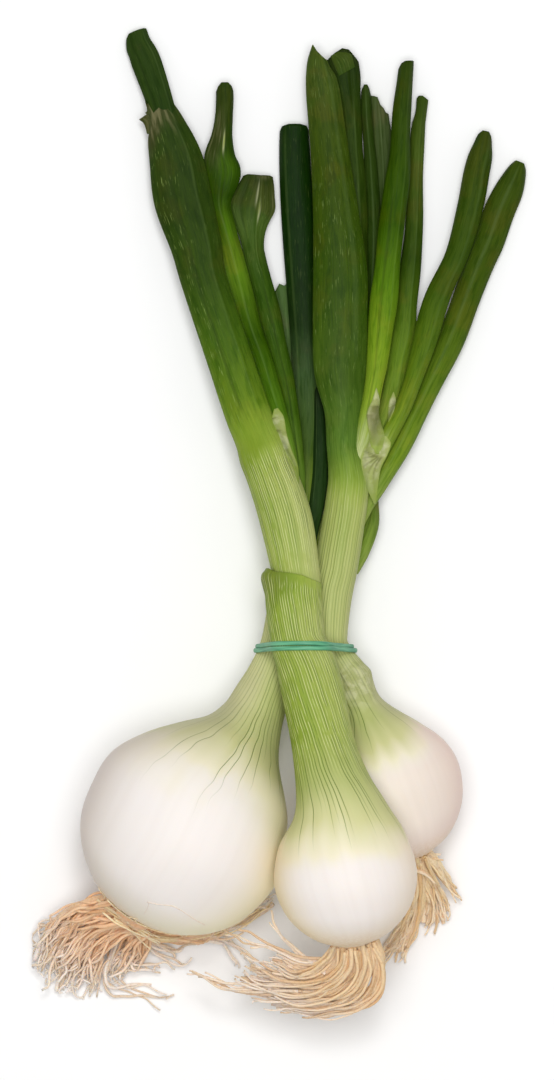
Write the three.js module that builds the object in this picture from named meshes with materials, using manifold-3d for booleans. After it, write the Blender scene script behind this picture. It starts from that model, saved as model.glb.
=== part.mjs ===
// A bunch of three fresh onions with their green leaves, lying down and held by a rubber band.
// Millimetres, +Z up. The bunch lies on the plane z = 0 with its leaves towards +Y, and the
// origin is on that plane, under the middle of the bunch.
//
// Bulbs, stems, leaves and roots are all made by one function, sweep(), which draws an oval
// section along a smooth centre line. Each row of a list below is one station on such a line:
// [x, y, z, half the width, half the thickness], where a missing thickness equals the width.

import * as THREE from "three";
import { mergeVertices } from "three/addons/utils/BufferGeometryUtils.js";
import Module from "manifold-3d";

// ---------------------------------------------------------------- driving dimensions
const CLEARANCE = 0.35; // air between neighbouring pieces
const WELD = 1e-3; // vertices closer than this are one
const SIMPLIFY = 0.05; // specks and slivers smaller than this are smoothed away
const FLOOR_REACH = 600; // side of the block that trims what dips below z = 0
const FLOOR_DEPTH = 60;

const BODY_SIDES = 20; // sides of a bulb and its stem
const LEAF_SIDES = 10;
const ROOT_SIDES = 3;
const RINGS_PER_STATION = 1.25; // rings of a sweep for each station of its centre line
const LEAF_RINGS_PER_STATION = 1.2;

// Bulbs: the widest place and its radius, and the root plate that the roots grow from.
const FRONT_BULB = { belly: [25.5, -131, 65], radius: 27, plate: [28, -157.5, 61] };
const LEFT_BULB = { belly: [-35, -117, 38.3], radius: 39.6, plate: [-54, -147.5, 28] };
const RIGHT_BULB = { belly: [43.5, -99, 25.4], radius: 26, plate: [54, -126, 19.5] };
const BULB_ARC_DEGREES = [14, 32, 50, 68]; // rings between root plate and belly

// Front onion: shoulder, neck, stem with the cut edge of a sheath, and outer leaf.
const FRONT_END = { slant: 2.2 };
const FRONT_LINE = [
  [24.5, -118, 64.5, 24.3],
  [23.5, -107.5, 63.3, 18.2],
  [22, -97, 59.5, 14],
  [17.5, -83, 53, 12],
  [14, -65.5, 48, 11.7],
  [10.5, -51, 43, 11],
  [8, -44, 41, 10.3],
  [6.2, -29, 38, 11],
  [6, -21, 36, 11.3],
  [6.2, -18.5, 35.4, 9.6],
  [4, -0.5, 31.5, 10],
  [0, 10.5, 29, 9.7],
  [-4, 21, 27, 9.3, 8.5],
  [-7.5, 32.5, 25, 9.2, 7],
  [-11.5, 43, 23, 8.8, 5.2],
  [-18.5, 64, 20, 8.7, 4.2],
  [-28, 93, 16.3, 8.8, 4],
  [-31, 106.5, 14.5, 9.8, 4],
  [-36, 124, 12, 11.2, 3.8],
  [-38.8, 139.5, 10, 10.3, 3.6],
  [-42.5, 153, 8, 8, 3.4],
  [-44, 160, 7, 6.5, 3],
];

// Left onion: the largest bulb, a neck that leans over to the band, and a dark outer leaf.
const LEFT_END = { slant: 0 };
const LEFT_LINE = [
  [-30, -105, 38, 38],
  [-24.5, -96.5, 36.6, 32],
  [-18.5, -88.5, 34.5, 23.5],
  [-13.5, -81.5, 32, 16],
  [-9.2, -73.5, 29, 12],
  [-5.7, -65.5, 27, 10.4],
  [-2.2, -57, 25, 9.2],
  [1, -46.5, 23, 8.5],
  [4.3, -34.5, 19, 8.3],
  [6.5, -21.5, 14.3, 8.3],
  [9, -8, 11.5, 7.9],
  [10.5, 5.5, 10.3, 7.3],
  [11.5, 21, 9.5, 6.8, 6.4],
  [12, 40, 8.5, 5.8, 5],
  [11, 63, 7.3, 5.1, 4],
  [9.5, 86, 6, 5.2, 3.6],
  [8, 109, 4.8, 5.7, 3.4],
  [7, 128.5, 4, 5.8, 3.4],
  [6.5, 144, 3.4, 5.5, 3.4],
  [6.5, 153, 3.1, 4.8, 3.3],
];

// Right onion: short neck, slim stem, and the broad leaf in the middle of the bunch.
const RIGHT_END = { slant: -2.6 };
const RIGHT_LINE = [
  [40.5, -90, 25.4, 23.6],
  [37.5, -82.5, 25.2, 18.3],
  [34.5, -75.5, 25, 12.6],
  [32, -70, 25, 9.8],
  [29, -64, 25, 9],
  [25, -56.5, 25, 8.4],
  [21.3, -50, 25, 7.9],
  [19, -43, 25, 8],
  [20, -29, 23.5, 8.1],
  [22.5, -15.5, 22, 8],
  [25, -0.5, 21, 7.9],
  [27, 14, 21, 7.8],
  [26.5, 22, 21, 7.1, 7.3],
  [25.5, 30.5, 21, 6.7, 6],
  [25.5, 43.5, 20.5, 7.6, 4.6],
  [24, 59, 20, 10, 4.2],
  [24, 78, 18.8, 10.4, 4],
  [24, 97, 17.4, 10.3, 4],
  [22.5, 118, 15.8, 8.8, 3.8],
  [20, 143, 13.6, 7.3, 3.4],
  [17.4, 166, 11.5, 6.4, 3],
  [16.2, 175.5, 10.8, 4.8, 2.8],
  [16.1, 181, 10.3, 3.2, 2.2],
];

// The other leaves. slant tips the cut end sideways. The list is in order of height, highest
// first: where two leaves press on each other, the lower one gives way.
const LEAVES = [
  {
    name: "front_leaf_inner",
    colour: "#2f4f1c",
    slant: 0,
    line: [
      [-40.5, 146, 9.4, 4.6, 2.2],
      [-45, 162.5, 7.6, 5.4, 2.8],
      [-50, 177.5, 5, 6, 3.2],
      [-52.4, 184.5, 3.8, 4.8, 3.2],
      [-54, 189.5, 3, 3.4, 3.1],
    ],
  },
  {
    name: "front_leaf_second",
    colour: "#446c18",
    slant: 0,
    line: [
      [6.5, 12, 27, 2, 2.2],
      [5.2, 24, 25.5, 2.6, 2.8],
      [2.5, 36, 23.2, 3.2, 3],
      [-1, 47.5, 21, 3.6, 3.2],
      [-6, 64, 18, 3.8, 3.4],
      [-10.5, 77, 16, 4, 3.4],
      [-16, 99, 12.5, 4.4, 3.4],
      [-19.5, 112.5, 11, 3.8, 3],
      [-21.5, 122, 10, 3.5, 2.6],
      [-21, 134, 9, 6.5, 2.8],
      [-21.5, 143.5, 8, 5.2, 3],
      [-21, 152, 7.5, 3.8, 3],
      [-20, 168, 6, 3, 2.6],
    ],
  },
  {
    name: "front_leaf_third",
    colour: "#3d5c20",
    slant: 1,
    line: [
      [9, 3, 25, 1.8, 2],
      [8.5, 14, 23, 2.4, 2.4],
      [7, 29, 20.4, 3, 2.6],
      [4, 49.5, 17.5, 3.6, 3],
      [1, 62.5, 15, 4.1, 3.2],
      [-5.5, 89.5, 10.3, 4.5, 3],
      [-8.5, 101.5, 8.4, 4.2, 2.8],
      [-10, 112, 7.2, 5.2, 2.6],
      [-9.5, 119.5, 6.6, 7.8, 2.3],
      [-9.5, 126, 6, 8.5, 2.1],
      [-8.5, 134, 5.4, 6.2, 1.9],
    ],
  },
  {
    name: "right_leaf_bright",
    colour: "#5f8f1c",
    slant: 0.8,
    line: [
      [29, 20, 22, 2.6, 2.6],
      [33, 34, 22, 3.2, 3.4],
      [36.5, 51.5, 21, 3.6, 3.6],
      [38.5, 64, 19.8, 4.4, 3.8],
      [41, 89.5, 16.8, 5.3, 3.8],
      [43.5, 110, 14.3, 5, 3.8],
      [45.5, 128, 12.3, 5, 3.6],
      [47, 141.5, 10.8, 4.1, 3.4],
      [48, 160, 9, 3.4, 3.2],
      [49.5, 177, 7.6, 3, 2.6],
    ],
  },
  {
    name: "right_leaf_long",
    colour: "#48701f",
    slant: 0,
    line: [
      [30.5, 8, 20, 2.2, 2.6],
      [36, 20, 20, 2.8, 3],
      [42.5, 33.5, 19, 3.1, 3.2],
      [49, 47.5, 17.3, 3.5, 3.4],
      [55.5, 66.5, 14.8, 4.2, 3.6],
      [61, 86, 12, 4.9, 3.8],
      [69, 103.5, 9.6, 4.5, 3.8],
      [74, 121.5, 7.2, 4.9, 3.8],
      [76.5, 135, 5.8, 5, 3.6],
      [78.5, 143.5, 5, 4.6, 3.4],
      [80, 150.5, 4.5, 3.2, 2.8],
    ],
  },
  {
    name: "right_leaf_outer",
    colour: "#3f641d",
    slant: 0,
    line: [
      [29.5, -3, 16, 2.2, 2.6],
      [34, 7, 15.2, 2.7, 3],
      [39.5, 16, 14.5, 3.1, 3.4],
      [46.5, 28.5, 13, 3.8, 3.6],
      [53, 42, 11.3, 4.1, 3.8],
      [61, 58.5, 9.3, 4.6, 3.8],
      [68, 74.5, 7.3, 5.2, 3.8],
      [77, 98.5, 5, 5.5, 3.8],
      [81.5, 109, 4.2, 5.9, 3.9],
      [85.5, 120.5, 3.7, 6, 3.9],
      [89, 128.5, 3.5, 5.4, 3.8],
      [92.3, 136, 3.2, 3.9, 3.3],
      [93.6, 139, 3, 2.8, 2.6],
    ],
  },
  {
    name: "right_leaf_narrow",
    colour: "#3b5f20",
    slant: -1,
    line: [
      [31, 12, 17.5, 2.2, 2.2],
      [36.5, 27, 15, 2.8, 2.6],
      [43.5, 47.5, 12.5, 3.3, 2.8],
      [47.5, 65, 10.3, 3.6, 2.8],
      [50, 86, 8.3, 4, 2.8],
      [52, 109, 6.4, 3.8, 2.6],
      [53, 130.5, 5, 3.3, 2.4],
      [54, 150.5, 4, 2.7, 2.2],
      [56, 164, 3.4, 1.9, 1.8],
    ],
  },
  {
    name: "right_leaf_second",
    colour: "#39561f",
    slant: -2,
    line: [
      [27, 14, 14.5, 3.4, 2.6],
      [28, 32, 12.5, 4.6, 3],
      [30, 74.5, 11.3, 5, 3],
      [30, 105, 9.8, 5, 3],
      [29.5, 124, 8.8, 5.2, 3],
      [28.5, 143.5, 7.8, 4.8, 2.8],
      [28, 162.5, 6.8, 4.4, 2.6],
      [26.5, 180, 6, 4, 2],
    ],
  },
  {
    name: "right_leaf_third",
    colour: "#335522",
    slant: -1,
    line: [
      [30, 15, 16, 2.2, 1.8],
      [33, 32, 14, 2.6, 2],
      [35.5, 74.5, 10, 2.8, 2.2],
      [37, 109, 7.6, 2.8, 2.2],
      [36, 136, 6, 2.6, 2.2],
      [34.5, 155, 5, 2.2, 2],
      [34, 168.5, 4.5, 1.7, 1.8],
    ],
  },
  {
    name: "right_leaf_grey",
    colour: "#4c5b3c",
    slant: -3.5,
    line: [
      [31, 14, 11.5, 2.6, 2.2],
      [35, 32, 9, 3.3, 2.4],
      [38.5, 74.5, 6.5, 3.8, 2.6],
      [41, 109, 4.5, 4, 2.6],
      [41, 132.5, 3.6, 3.9, 2.6],
      [40, 147.5, 3.2, 3.7, 2.5],
      [39, 160, 3, 3.2, 2.2],
    ],
  },
  {
    name: "left_leaf_blade",
    colour: "#1f3a20",
    slant: 0,
    line: [
      [12, -6, 18, 2.3, 2],
      [14.5, 9.5, 16, 2.6, 2.2],
      [15.5, 24.5, 14, 2.8, 2.2],
      [15.5, 40, 12.5, 2.4, 2],
      [15, 52, 11.5, 1.5, 1.6],
    ],
  },
  {
    name: "left_leaf_grey",
    colour: "#33482f",
    slant: 2,
    line: [
      [9, 26, 5, 2.8, 2.2],
      [6.5, 48, 3.8, 3.6, 2.4],
      [4, 71, 3, 4, 2.6],
      [2, 92, 2.4, 3.6, 2.6],
    ],
  },
  {
    name: "left_leaf_stub",
    colour: "#3e6a1d",
    slant: 2,
    line: [
      [28.5, -18, 13.5, 2.3, 2.4],
      [32.5, -9, 12.5, 2.9, 2.8],
      [35.5, -0.5, 12, 3, 2.8],
      [36.5, 7, 11.5, 2, 2.2],
    ],
  },
];

// Roots: a tuft for each onion, in sprays. A root sets out by reach, sags by droop and is bent
// aside by swirl, in millimetres; scatter is how far its reach may differ from its spray's.
const ROOT_RADIUS = 1.05;
const ROOT_STEPS = 4;
const ROOT_FLOOR = 1.1; // lowest height of a root's centre line
const CORE_SIDES = 7;
const TUFTS = [
  {
    name: "front_roots",
    bulb: FRONT_BULB,
    seed: 11,
    crown: 7,
    colour: "#d8b98e",
    sprays: [
      { count: 16, reach: [10, -30, -12], scatter: 6, droop: 10, swirl: [-38, 4] },
      { count: 9, reach: [2, -18, -14], scatter: 5, droop: 12, swirl: [-33, 0] },
      { count: 3, reach: [-26, -12, -14], scatter: 5, droop: 14, swirl: [-22, -2] },
    ],
  },
  {
    name: "left_roots",
    bulb: LEFT_BULB,
    seed: 23,
    crown: 9,
    colour: "#d9ae92",
    sprays: [
      { count: 14, reach: [-28, -12, -22], scatter: 9, droop: 8, swirl: [-4, -6] },
      { count: 9, reach: [-9, -26, -22], scatter: 8, droop: 6, swirl: [-2, -4] },
      { count: 5, reach: [26, -22, -24], scatter: 7, droop: 6, swirl: [8, -2] },
      { count: 3, reach: [46, -6, -26], scatter: 5, droop: 4, swirl: [6, 2] },
    ],
  },
  {
    name: "right_roots",
    bulb: RIGHT_BULB,
    seed: 37,
    crown: 6.5,
    colour: "#d6bc82",
    sprays: [
      { count: 12, reach: [10, -19, -12], scatter: 6, droop: 4, swirl: [1, -4] },
      { count: 12, reach: [-3, -31, -12], scatter: 6, droop: 4, swirl: [-6, -3] },
    ],
  },
];

// Rubber band: one loop wound twice round the three stems. The two turns lie side by side, and
// change places under the stems, where one passes outside the other.
const BAND = {
  strand: 0.85, // radius of one strand
  apart: 0.95, // half the distance between the two strands' centres
  y: -47.2, // where it crosses the stems at the height below
  yHeight: 20,
  rise: 0.1, // it leans towards +Y by this much for each millimetre up
  turnSteps: 32,
  sides: 6,
  crossing: 0.12, // share of a turn, each side of the lowest point, where the strands change places
};

// ---------------------------------------------------------------- solids
const manifoldModule = await Module();
manifoldModule.setup();

function solidOf(geometry) {
  geometry.deleteAttribute("normal");
  geometry.deleteAttribute("uv");
  const merged = mergeVertices(geometry, WELD);
  return new manifoldModule.Manifold(
    new manifoldModule.Mesh({
      numProp: 3,
      vertProperties: new Float32Array(merged.attributes.position.array),
      triVerts: new Uint32Array(merged.index.array),
    }),
  );
}

function geometryOf(solid) {
  const mesh = solid.getMesh();
  const geometry = new THREE.BufferGeometry();
  geometry.setAttribute("position", new THREE.BufferAttribute(mesh.vertProperties, 3));
  geometry.setIndex(new THREE.BufferAttribute(mesh.triVerts, 1));
  geometry.computeVertexNormals();
  return geometry;
}

function largestPiece(solid) {
  return solid.decompose().reduce((best, piece) => (piece.volume() > best.volume() ? piece : best));
}

// ---------------------------------------------------------------- the sweep
function smoothCurve(vectors) {
  return new THREE.CatmullRomCurve3(vectors, false, "catmullrom", 0.5);
}

// grow makes the same shape fatter, which is how a neighbour is kept clear of it.
function sweep(line, { sides, rings, slant = 0, grow = 0 }) {
  const centre = smoothCurve(line.map(([x, y, z]) => new THREE.Vector3(x, y, z)));
  const size = smoothCurve(line.map(([, , , w, t = w]) => new THREE.Vector3(w, t, 0)));
  const geometry = new THREE.CylinderGeometry(1, 1, 1, sides, rings);
  const position = geometry.attributes.position;
  const up = new THREE.Vector3(0, 0, 1);
  for (let i = 0; i < position.count; i++) {
    const along = position.getY(i) + 0.5;
    const tangent = centre.getTangent(along);
    const across = new THREE.Vector3().crossVectors(tangent, up).normalize();
    const normal = new THREE.Vector3().crossVectors(across, tangent);
    const half = size.getPoint(along);
    const endShift = grow * Math.sign(along - 0.5) * (along === 0 || along === 1 ? 1 : 0);
    const slantShift = slant * position.getX(i) * THREE.MathUtils.smoothstep(along, 0.85, 1);
    const point = centre
      .getPoint(along)
      .addScaledVector(across, (half.x + grow) * position.getX(i))
      .addScaledVector(normal, (half.y + grow) * position.getZ(i))
      .addScaledVector(tangent, endShift + slantShift);
    position.setXYZ(i, point.x, point.y, point.z);
  }
  return solidOf(geometry);
}

// ---------------------------------------------------------------- onions
// The underside of a bulb is a quarter of an oval turned about the line from plate to belly.
function bulbLine({ belly, radius, plate }) {
  const widest = new THREE.Vector3(...belly);
  const bottom = new THREE.Vector3(...plate);
  const arc = BULB_ARC_DEGREES.map((degrees) => {
    const angle = THREE.MathUtils.degToRad(degrees);
    const point = widest.clone().lerp(bottom, Math.cos(angle));
    return [point.x, point.y, point.z, radius * Math.sin(angle)];
  });
  return [...arc, [...belly, radius]];
}

function onion(bulb, line, slant, grow) {
  const stations = [...bulbLine(bulb), ...line];
  const rings = Math.round(stations.length * RINGS_PER_STATION);
  return sweep(stations, { sides: BODY_SIDES, rings, slant, grow });
}

// ---------------------------------------------------------------- roots
function randomFrom(seed) {
  let state = seed;
  return () => {
    state = (state * 1664525 + 1013904223) % 4294967296;
    return state / 4294967296;
  };
}

function rootLine(start, spray, random) {
  const scatter = () => (random() * 2 - 1) * spray.scatter;
  const reach = new THREE.Vector3(...spray.reach).add(new THREE.Vector3(scatter(), scatter(), scatter()));
  const length = 0.7 + 0.4 * random();
  const phase = random() * 2 * Math.PI;
  const lift = random();
  return Array.from({ length: ROOT_STEPS + 1 }, (_, i) => {
    const along = (i / ROOT_STEPS) * length;
    const bend = along * along;
    const wave = Math.sin(along * 6 + phase) * 1.5 * along;
    return [
      start.x + reach.x * along + spray.swirl[0] * bend + wave,
      start.y + reach.y * along + spray.swirl[1] * bend - wave * 0.5,
      Math.max(start.z + reach.z * along - spray.droop * bend, ROOT_FLOOR + lift),
      ROOT_RADIUS * (1 - 0.3 * along),
    ];
  });
}

// The crown is the knot where the roots leave the plate. It tapers off inside the first spray.
function tuftCrown(plate, crown, spray) {
  const [x, y, z] = spray.reach;
  const inside = [-0.2, 0.12, 0.3, 0.48];
  const width = [0.8, 1, 0.7, 0.3];
  const line = inside.map((along, i) => [
    plate.x + x * along + spray.swirl[0] * along * along,
    plate.y + y * along + spray.swirl[1] * along * along,
    plate.z + z * along - spray.droop * along * along,
    crown * width[i],
    crown * width[i] * 0.75,
  ]);
  return sweep(line, { sides: CORE_SIDES, rings: line.length });
}

function tuft({ bulb, seed, crown, sprays }) {
  const random = randomFrom(seed);
  const plate = new THREE.Vector3(...bulb.plate);
  const outward = plate.clone().sub(new THREE.Vector3(...bulb.belly)).normalize();
  let solid = tuftCrown(plate, crown, sprays[0]);
  for (const spray of sprays) {
    for (let i = 0; i < spray.count; i++) {
      const start = plate.clone().addScaledVector(outward, 1);
      start.x += (random() - 0.5) * crown * 1.3;
      start.z += (random() - 0.5) * crown * 0.9;
      const line = rootLine(start, spray, random);
      solid = solid.add(sweep(line, { sides: ROOT_SIDES, rings: ROOT_STEPS }));
    }
  }
  return solid;
}

// ---------------------------------------------------------------- rubber band
// A stem as the band meets it: an oval, wider the more the stem leans across the band.
function stemOval(line) {
  const centre = smoothCurve(line.map(([x, y, z]) => new THREE.Vector3(x, y, z)));
  const size = smoothCurve(line.map(([, , , w, t = w]) => new THREE.Vector3(w, t, 0)));
  const steps = 200;
  const miss = (along) => {
    const point = centre.getPoint(along);
    return Math.abs(point.y - BAND.y - (point.z - BAND.yHeight) * BAND.rise);
  };
  const samples = Array.from({ length: steps + 1 }, (_, i) => i / steps);
  const along = samples.reduce((best, other) => (miss(other) < miss(best) ? other : best));
  const { x, z } = centre.getPoint(along);
  const tangent = centre.getTangent(along);
  const radius = size.getPoint(along).x + CLEARANCE;
  return {
    x,
    z,
    wide: radius * Math.hypot(1, tangent.x / tangent.y),
    high: radius * Math.hypot(1, tangent.z / tangent.y),
  };
}

// A taut loop follows the outside of the stems: in each direction it touches the one that
// reaches furthest that way. It starts at the lowest point.
function bandLoop(stems) {
  const steps = BAND.turnSteps * 4;
  const loop = Array.from({ length: steps }, (_, i) => {
    const angle = (i / steps) * 2 * Math.PI;
    const [right, up] = [Math.sin(angle), -Math.cos(angle)];
    const far = (stem) => Math.hypot(stem.wide * right, stem.high * up);
    const reach = (stem) => stem.x * right + stem.z * up + far(stem);
    const stem = stems.reduce((best, other) => (reach(other) > reach(best) ? other : best));
    const x = stem.x + (stem.wide ** 2 * right) / far(stem);
    const z = stem.z + (stem.high ** 2 * up) / far(stem);
    return new THREE.Vector3(x, BAND.y + (z - BAND.yHeight) * BAND.rise, z);
  });
  return new THREE.CatmullRomCurve3(loop, true, "centripetal");
}

// Side by side, the two strands lie level on the stems. Near the lowest point each turns about
// the loop by a quarter and then another quarter, so that one passes outside the other.
function strandAngle(turn, second) {
  const nearEnd = Math.min(turn, 1 - turn);
  const quarter = (Math.PI / 2) * THREE.MathUtils.smoothstep(nearEnd, 0, BAND.crossing);
  if (turn < 0.5) return (second ? 0 : Math.PI) - quarter;
  return (second ? -Math.PI : 0) + quarter;
}

function rubberBand() {
  const loop = bandLoop([FRONT_LINE, LEFT_LINE, RIGHT_LINE].map(stemOval));
  const axis = new THREE.Vector3(0, -1, BAND.rise).normalize();
  const steps = BAND.turnSteps * 2;
  const geometry = new THREE.TorusGeometry(1, BAND.strand, BAND.sides, steps);
  const position = geometry.attributes.position;
  for (let i = 0; i < position.count; i++) {
    const step = (i % (steps + 1)) % steps;
    const corner = (Math.floor(i / (steps + 1)) / BAND.sides) * 2 * Math.PI;
    const turn = (step / BAND.turnSteps) % 1;
    const angle = strandAngle(turn, step >= BAND.turnSteps);
    const lift = BAND.strand + BAND.apart * Math.abs(Math.cos(angle));
    const outward = new THREE.Vector3().crossVectors(loop.getTangentAt(turn), axis).normalize();
    const point = loop
      .getPointAt(turn)
      .addScaledVector(outward, lift + BAND.apart * Math.cos(angle) + BAND.strand * Math.cos(corner))
      .addScaledVector(axis, BAND.apart * Math.sin(angle) + BAND.strand * Math.sin(corner));
    position.setXYZ(i, point.x, point.y, point.z);
  }
  return solidOf(geometry);
}

// ---------------------------------------------------------------- assembly
const floorBlock = solidOf(
  new THREE.BoxGeometry(FLOOR_REACH, FLOOR_REACH, FLOOR_DEPTH).translate(0, 0, -FLOOR_DEPTH / 2),
);
const bunch = new THREE.Group();
const placed = []; // every solid placed so far, a little fatter than it is

function overlapsBox(a, b) {
  const [p, q] = [a.boundingBox(), b.boundingBox()];
  return [0, 1, 2].every((axis) => p.min[axis] < q.max[axis] && q.min[axis] < p.max[axis]);
}

// Adds a piece: what dips below the surface or into an earlier piece is cut away.
function place(name, colour, solid, fatter, roughness = 0.55) {
  let shape = solid.subtract(floorBlock);
  for (const other of placed) {
    if (overlapsBox(shape, other)) shape = shape.subtract(other);
  }
  shape = largestPiece(shape).simplify(SIMPLIFY);
  if (fatter) placed.push(fatter);
  const material = new THREE.MeshStandardMaterial({ color: colour, roughness, metalness: 0 });
  const mesh = new THREE.Mesh(geometryOf(shape), material);
  mesh.name = name;
  bunch.add(mesh);
}

function placeOnion(name, colour, bulb, line, { slant }) {
  place(name, colour, onion(bulb, line, slant, 0), onion(bulb, line, slant, CLEARANCE), 0.4);
}

function placeLeaf({ name, colour, slant, line }) {
  const shape = { sides: LEAF_SIDES, rings: Math.round(line.length * LEAF_RINGS_PER_STATION), slant };
  place(name, colour, sweep(line, shape), sweep(line, { ...shape, grow: CLEARANCE }));
}

placeOnion("front_onion", "#dfe3c8", FRONT_BULB, FRONT_LINE, FRONT_END);
placeOnion("right_onion", "#e6dccb", RIGHT_BULB, RIGHT_LINE, RIGHT_END);
placeOnion("left_onion", "#ece8de", LEFT_BULB, LEFT_LINE, LEFT_END);
LEAVES.forEach(placeLeaf);
place("rubber_band", "#3c9678", rubberBand(), null, 0.6);
TUFTS.forEach((one) => place(one.name, one.colour, tuft(one), null, 0.9));

export default bunch;
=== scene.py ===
# The looks of a bunch of three fresh onions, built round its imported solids.
#
# Lists hold millimetres, as the solids' source does, and become metres when a piece is written.
# A line is a list of stations: [x, y, z, half the width, half the thickness], where a missing
# thickness equals the width. Every tube is swept along such a line. Roots and thin skins are
# placed as the camera sees them instead: [across the frame, down the frame, height], where the
# first two are pixels of the frame and the height is in millimetres.
import math

import bpy
import numpy as np
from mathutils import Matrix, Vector
from mathutils.bvhtree import BVHTree


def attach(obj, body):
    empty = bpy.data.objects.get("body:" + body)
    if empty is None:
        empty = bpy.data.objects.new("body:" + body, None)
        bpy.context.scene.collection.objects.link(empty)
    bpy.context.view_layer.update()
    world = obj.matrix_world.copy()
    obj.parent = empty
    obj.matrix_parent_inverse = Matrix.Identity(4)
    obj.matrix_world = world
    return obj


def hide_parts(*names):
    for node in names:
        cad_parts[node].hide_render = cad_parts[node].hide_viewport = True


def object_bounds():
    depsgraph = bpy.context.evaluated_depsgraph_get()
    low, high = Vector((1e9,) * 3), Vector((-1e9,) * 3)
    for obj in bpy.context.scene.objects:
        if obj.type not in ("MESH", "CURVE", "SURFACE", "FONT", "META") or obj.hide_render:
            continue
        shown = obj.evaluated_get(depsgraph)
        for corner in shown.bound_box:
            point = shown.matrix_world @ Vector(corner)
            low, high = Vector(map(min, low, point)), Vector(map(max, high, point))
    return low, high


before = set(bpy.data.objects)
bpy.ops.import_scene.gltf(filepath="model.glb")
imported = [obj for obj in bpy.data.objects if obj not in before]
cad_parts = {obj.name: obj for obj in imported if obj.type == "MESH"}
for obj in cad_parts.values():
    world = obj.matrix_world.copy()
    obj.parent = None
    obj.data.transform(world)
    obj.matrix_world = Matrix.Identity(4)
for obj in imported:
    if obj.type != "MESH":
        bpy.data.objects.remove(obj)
cad_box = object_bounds()

MM = 0.001
BOX_AIR = 0.02  # the pieces keep this far inside the box round the solids
LOWEST, HIGHEST = np.array(cad_box) / MM + [[BOX_AIR], [-BOX_AIR]]

# ---------------- camera
FRAME_WIDTH = 554
FRAME_HEIGHT = 1080
CAMERA_HEIGHT = 2000
CAMERA_Y = -6
FOCUS_HEIGHT = 25  # height at which one pixel of the frame is MM_PER_PIXEL wide
MM_PER_PIXEL = 0.38
SENSOR = 36  # millimetres along the frame's longer side

# ---------------- onions
FRONT_BULB = {"belly": [25.5, -131, 65], "radius": 27, "plate": [28, -157.5, 61]}
LEFT_BULB = {"belly": [-35, -117, 38.3], "radius": 39.6, "plate": [-54, -147.5, 28]}
RIGHT_BULB = {"belly": [43.5, -99, 25.4], "radius": 26, "plate": [54, -126, 19.5]}
BULB_ARC_DEGREES = [14, 32, 50, 68]  # stations between root plate and belly

# The front onion's outer sheath ends at a cut edge. Its stem comes out of it and is a leaf later.
FRONT_SHEATH = [
    [24.5, -118, 64.5, 24.3], [23.5, -107.5, 63.3, 18.2], [20.8, -97, 59.5, 14.1], [17.5, -83, 53, 12],
    [14, -65.5, 48, 11.7], [10.5, -51, 43, 11], [8, -44, 41, 10.3], [6.4, -29, 38, 10.8],
    [6.6, -24, 36.8, 10.7], [6.8, -19.5, 35.7, 10.4],
]
FRONT_STEM = [
    [8, -26, 37, 8.6], [7.2, -18.5, 35.4, 9], [3.9, -0.5, 31.5, 9.9], [0.8, 10.5, 29, 9.8],
    [-3, 21, 27, 9.4, 8.6], [-7.3, 32.5, 25, 8.8, 7], [-11.5, 43, 23, 8.8, 5.2],
    [-18.5, 64, 20, 8.7, 4.2], [-28, 93, 16.3, 8.8, 4], [-31, 106.5, 14.5, 9.8, 4],
    [-36, 124, 12, 11.2, 3.8], [-38.8, 139.5, 10, 10.3, 3.6], [-42.9, 153, 8, 7.6, 3.4],
    [-45.2, 160, 7, 5.6, 3],
]
LEFT_STEM = [
    [-30, -105, 38, 38], [-24.5, -96.5, 36.6, 32], [-18.5, -88.5, 34.5, 23.5], [-13.5, -81.5, 32, 16],
    [-9.2, -73.5, 29, 12], [-5.7, -65.5, 27, 10.4], [-2, -57, 25, 9], [1.4, -47, 23, 8],
    [4.3, -34.5, 19, 8.3], [6.5, -21.5, 14.3, 8.3], [9, -8, 11.5, 7.9], [10.5, 5.5, 10.3, 7.3],
    [11.5, 21, 9.5, 6.8, 6.4], [12.3, 40, 8.5, 6.2, 5], [11.5, 63, 7.3, 5.7, 4],
    [10.2, 86, 6, 6.1, 3.6], [8.8, 109, 4.8, 6.5, 3.4], [7.4, 128.5, 4, 6.2, 3.4],
    [6.7, 144, 3.4, 5.8, 3.4], [6.6, 153, 3.1, 5.5, 3.1],
]
RIGHT_STEM = [
    [40.5, -90, 25.4, 23.6], [37.5, -82.5, 25.2, 18.3], [34.5, -75.5, 25, 12.6], [32, -70, 25, 9.8],
    [29, -64, 25, 9], [25, -56.5, 25, 8.4], [20.9, -49, 25, 7.3], [19, -43, 25, 7.8],
    [20, -29, 23.5, 8.1], [22.5, -15.5, 22, 8], [25, -0.5, 21, 7.9], [27, 14, 21, 7.8],
    [26.5, 22, 21, 7.1, 7.3], [25.5, 30.5, 21, 6.7, 6], [25.5, 43.5, 20.5, 7.6, 4.6],
    [24, 59, 20, 10, 4.2], [24, 78, 18.8, 10.4, 4], [24, 97, 17.4, 10.3, 4],
    [22.5, 118, 15.8, 8.8, 3.8], [20, 143, 13.6, 7.3, 3.4], [17.4, 166, 11.5, 6.4, 3],
    [16.2, 175.5, 10.8, 4.8, 2.8], [16.1, 181, 10.3, 3.2, 2.2],
]

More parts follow.
